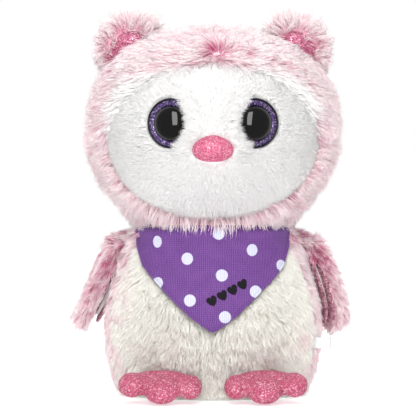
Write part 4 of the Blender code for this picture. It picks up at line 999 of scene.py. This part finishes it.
def cloth_point(across, height):
    """Where a flat place of the hanging triangle lies, with its soft folds."""
    radius = float(cloth_radius(np.array([height]))[0])
    turn = across / radius
    low = min(max((74 * MM - height) / (40 * MM), 0), 1)
    side = abs(across) / (48 * MM)
    fold = 0.55 * sin(across / (7.5 * MM) + 0.9 + height / (30 * MM)) * low
    fold += 0.9 * sin((height - 0.55 * abs(across)) / (4.6 * MM)) * side * (1 - low)
    fold += 0.5 * sin(across / (4.1 * MM) - height / (9 * MM)) * low * low
    radius += fold * MM + 0.9 * MM * low
    return Vector((AXIS.x + radius * sin(turn),
                   AXIS.y - BODY_DEPTH * radius * cos(turn), height))


def neckerchief():
    look = cloth_look("bandana_cloth")
    heights = np.linspace(CLOTH_HEIGHTS[0], CLOTH_HEIGHTS[-1], 46)
    halves = [float(cloth_half(height)) for height in heights]
    rows = [[(cloth_point(s, height), (s, height)) for s in np.linspace(-half, half, 56)]
            for height, half in zip(heights, halves)]
    cloth, area = fabric("neckerchief", rows, look, 0.5 * MM)
    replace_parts(cloth, "bandana")

    # A doubled hem along both slanting edges.
    hem_look = cloth_look("hem_cloth")
    for side, sign in SIDES:
        strip = []
        for height, half in zip(heights[1:], halves[1:]):
            row = []
            for inset, lift in HEM_ACROSS:
                s = sign * max(half - inset * MM, 0)
                p = cloth_point(s, height)
                out = Vector((p.x - AXIS.x, (p.y - AXIS.y) / BODY_DEPTH ** 2, 0)).normalized()
                row.append((p + out * lift * MM, (s, height)))
            strip.append(row if sign < 0 else row[::-1])
        fabric(f"{side}_hem", strip, hem_look, 0.35 * MM)[0]

    # The rolled band that ties it on runs round the back of the neck.
    turns = np.linspace(BAND_GAP, 2 * pi - BAND_GAP, 72)
    rows = []
    for k in range(9):
        roll = 2 * pi * k / 8
        radius = BAND_RADIUS + 1.9 * MM * cos(roll)
        height = BAND_HEIGHT + 3.2 * MM * sin(roll)
        rows.append([(Vector((AXIS.x + radius * sin(turn),
                              AXIS.y - BODY_DEPTH * radius * cos(turn), height)),
                      (j * 2.2 * MM, k * 2.2 * MM)) for j, turn in enumerate(turns)])
    band, band_area = fabric("neck_band", rows, look, 0.5 * MM)
    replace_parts(band, "bandana")


# --- Feet, label and insides

# A pad and three toes: each one's middle outwards, back and up from the foot's, and half sizes.
FOOT_LOBES = (((2.2, 6, 8.6), (17.5, 10, 5.0)), ((15.6, 0, 8.4), (6.6, 9.6, 4.8)),
              ((1.6, -5, 6.2), (8.6, 11, 5.0)), ((-11.6, -1, 7.4), (5.8, 9.6, 4.8)))
FOOT_PRESSURE = 4.0
FOOT_LEAN = radians(20)


def swell(obj, pressure, cap):
    """Blows a pad up as cloth under air pressure. No point moves further than cap."""
    before = [v.co.copy() for v in obj.data.vertices]
    cloth = obj.modifiers.new("cloth", "CLOTH")
    cloth.settings.use_pressure = True
    cloth.settings.uniform_pressure_force = pressure
    cloth.settings.quality = 6
    cloth.settings.tension_stiffness = 30
    cloth.settings.bending_stiffness = 0.6
    cloth.settings.effector_weights.gravity = 0
    scene = bpy.context.scene
    for step in range(1, 21):
        scene.frame_set(step)
    apply_modifiers(obj)
    scene.frame_set(1)
    for vertex, old in zip(obj.data.vertices, before):
        moved = vertex.co - old
        if moved.length > cap:
            vertex.co = old + moved * (cap / moved.length)


def feet():
    look = glitter_look("foot_glitter", srgb(150, 44, 74), srgb(198, 92, 124),
                        srgb(255, 208, 220), 1900, 0.6)
    for side, sign in SIDES:
        centre = middle(f"{side}_foot")
        bm = bmesh.new()
        for place, half in FOOT_LOBES:
            x, y, z = Vector(place) * MM
            matrix = (Matrix.Translation((centre.x + sign * x, centre.y + y, z))
                      @ Matrix.Rotation(FOOT_LEAN, 4, "X")
                      @ Matrix.Diagonal((*(Vector(half) * MM), 1)))
            bmesh.ops.create_icosphere(bm, subdivisions=4, radius=1, matrix=matrix)
        bmesh.ops.recalc_face_normals(bm, faces=bm.faces)
        obj = from_bmesh(f"{side}_foot_pad", bm, look)
        even_out(obj, 1.5, 4)
        swell(obj, FOOT_PRESSURE, 1.6 * MM)
        obj.modifiers.new("fine", "SUBSURF").levels = 1
        apply_modifiers(obj)

        lowest = min(v.co.z for v in obj.data.vertices)
        for vertex in obj.data.vertices:
            vertex.co.z += 0.5 * MM - lowest
        obj.data.shade_smooth()
        padded_piece(obj, f"{side}_foot", "torso")


def label():
    """A folded satin tag, sewn into the side seam."""
    look = Look("satin", srgb(250, 250, 250), 0.36, Sheen_Weight=0.2)
    weave = look.add("TexWave", {"Vector": look.place(), "Scale": 900.0, "Distortion": 0.4},
                     bands_direction="Z").outputs["Fac"]
    # Satin weave in faint stripes, which is real. The white tag is also painted light grey all over
    # as painted shade.
    look.to("Base Color", look.ramp(weave, (0, srgb(206, 206, 212)), (1, srgb(226, 226, 230))))
    look.bump(weave, 0.3, 0.05 * MM)
    low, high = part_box("sewn_label")
    seam = (low.y + high.y) / 2 - 0.6 * MM
    fold = high.x + 3 * MM
    heights, width = np.linspace(low.z, high.z, 7), 17
    points = []
    for z in heights:
        for t in np.linspace(-1, 1, width):  # from one leaf's hem, over the fold, to the other's
            x = fold - (fold - low.x) * abs(t) ** 1.15
            gap = 0.42 * MM * copysign(1, t) * min(1, (abs(t) * 5) ** 0.5)
            sway = 0.5 * MM * sin((x - low.x) / (3.2 * MM) + z / (4 * MM))
            points.append((x, seam + gap + sway, z + 0.3 * MM * sin(x * 700)))
    faces = [(i * width + j, i * width + j + 1, (i + 1) * width + j + 1, (i + 1) * width + j)
             for i in range(len(heights) - 1) for j in range(width - 1)]
    obj = add_mesh("folded_label", points, faces, "torso", look.material)
    solid = obj.modifiers.new("thickness", "SOLIDIFY")
    solid.thickness = 0.16 * MM
    apply_modifiers(obj)
    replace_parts(obj, "sewn_label")


def moulded(name, colour, roughness=0.42):
    """Moulded plastic: fine spark-eroded texture and slight clouding."""
    look = Look(name, colour, roughness, Specular_IOR_Level=0.45)
    cloud = look.noise(60, 3)
    look.to("Base Color", look.mix(cloud, [c * 0.9 for c in colour], colour))
    look.to("Roughness", look.between(look.noise(500, 2), 0.3, 0.7,
                                      (roughness - 0.06, roughness + 0.08)))
    look.bump(look.noise(2400, 2), 0.12, 0.05 * MM)
    return look.material


def inside_looks():
    """Finishes of the CAD pieces that stay as they are, slot by slot."""
    steel = Look("steel", (0.58, 0.58, 0.6), 0.28, Metallic=1.0)
    brushed = steel.add("TexNoise", {"Vector": steel.add("Mapping", {
        "Vector": steel.place(), "Scale": (80, 80, 2600)}).outputs[0], "Scale": 1.0}).outputs["Fac"]
    steel.to("Base Color", steel.ramp(brushed, (0.3, (0.42, 0.42, 0.44)), (0.7, (0.68, 0.68, 0.7))))
    steel.to("Roughness", steel.between(brushed, 0.3, 0.7, (0.2, 0.38)))
    board = Look("board", (0.02, 0.13, 0.05), 0.35, Coat_Weight=0.4)
    tracks = board.cells(420, "Distance", feature="DISTANCE_TO_EDGE")
    track = board.between(tracks, 0.04, 0.07)
    board.to("Base Color", board.mix(track, (0.05, 0.26, 0.1), (0.015, 0.12, 0.045)))
    board.bump(board.minus(1.0, track), 0.3, 0.05 * MM)
    cell = Look("cell", (0.03, 0.03, 0.035), 0.3, Coat_Weight=0.5)
    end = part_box("battery_1")[1].x
    along_cell = cell.add("SeparateXYZ", {0: cell.place()}).outputs[0]
    top = cell.between(along_cell, end - 12 * MM, end - 11.6 * MM)
    worn = cell.noise(300, 3)
    cell.to("Base Color", cell.mix(top, cell.ramp(worn, (0.3, (0.02, 0.02, 0.024)),
                                                  (0.7, (0.045, 0.045, 0.05))),
                                   (0.62, 0.36, 0.08)))
    stuffing = Look("stuffing", (0.86, 0.86, 0.84), 0.95, Sheen_Weight=0.4)
    puffs = stuffing.noise(170, 5)
    stuffing.to("Base Color", stuffing.mix(puffs, (0.78, 0.78, 0.76), (0.92, 0.92, 0.91)))
    stuffing.bump(puffs, 0.9, 2 * MM)
    looks = {
        "white_abs": moulded("white_abs", (0.78, 0.78, 0.76)),
        "grey_abs": moulded("grey_abs", (0.33, 0.34, 0.36), 0.5),
        "black_gloss": moulded("black_abs", (0.012, 0.012, 0.014), 0.3),
        "acetal": moulded("acetal", (0.8, 0.78, 0.7), 0.35),
        "steel": steel.material, "board": board.material,
        "cell": cell.material, "stuffing": stuffing.material,
    }
    spare = backing_look("knit_backing", blended(ROSE, FROST, 0.5))
    for part in frame["record"]["subparts"]:
        obj = frame["nodes"][part["node"]]
        obj.data.materials.clear()
        obj.data.materials.append(looks.get(part["material_slot"], spare))


# --- Stage

def area_light(name, place, target, size, power, mirrored=False):
    """A softbox that the camera doesn't see. Glossy surfaces mirror it only if mirrored."""
    light = bpy.data.lights.new(name, "AREA")
    light.shape = "RECTANGLE"
    light.size, light.size_y = size
    light.energy = power
    obj = new_object(name, light)
    obj.location = place
    obj.rotation_euler = (Vector(target) - Vector(place)).to_track_quat("-Z", "Y").to_euler()
    obj.visible_camera = False
    obj.visible_glossy = mirrored


def stage():
    centre = (cad_box[0] + cad_box[1]) / 2
    scene = bpy.context.scene
    scene.view_settings.view_transform = "Standard"

    # A white room, darker in front of the toy so that its eyes stay black.
    world = bpy.data.worlds.new("studio")
    scene.world = world
    world.use_nodes = True
    room = Graph(world.node_tree)
    background = room.nodes["Background"]
    direction = room.add("SeparateXYZ", {0: room.add("TexCoord").outputs["Generated"]})
    level = room.between(direction.outputs[1], 0.0, 0.5, (0.3, 1.0))
    seen = room.add("LightPath").outputs["Is Camera Ray"]  # the room looks white on every side
    room.links.new(room.maths("MAXIMUM", level, seen), background.inputs["Strength"])
    background.inputs["Color"].default_value = (1, 1, 1, 1)

    bpy.ops.mesh.primitive_plane_add(size=30, location=(0, 0, -0.0002))
    floor = bpy.context.object
    floor.name = "floor"
    paper = Look("floor", (0.9, 0.9, 0.9), 0.9, Emission_Color=(1, 1, 1, 1),
                 Emission_Strength=0.5)
    floor.data.materials.append(paper.material)
    floor.visible_glossy = False  # its glare would grey the lower half of the eyes

    camera_data = bpy.data.cameras.new("camera")
    camera = new_object("camera", camera_data)
    scene.camera = camera
    camera_data.lens = 240
    camera_data.sensor_width = 36
    camera_data.clip_start = 0.01
    elevation = radians(1.5)
    distance = 1.311
    target = Vector((-2.3 * MM, centre.y - 10 * MM, 89.7 * MM))
    back = Vector((0, -cos(elevation), sin(elevation)))
    camera.location = target + back * distance
    camera.rotation_euler = (-back).to_track_quat("-Z", "Y").to_euler()

    look_at = (0, 0, 0.09)
    area_light("front_softbox", (-0.042, -0.6, 0.42), (0, 0, 0.14), (0.3, 0.86), 4.7, True)
    area_light("top_softbox", (0, -0.1, 0.9), look_at, (1.0, 1.0), 5.5)
    area_light("rear_softbox", (0.0, 1.3, 0.7), look_at, (1.0, 0.9), 10.0)


inside_looks()
face_fur()
head_fur()
ear_fur()
eyes()
nose()
body_fur()
wings()
neckerchief()
feet()
label()
stage()
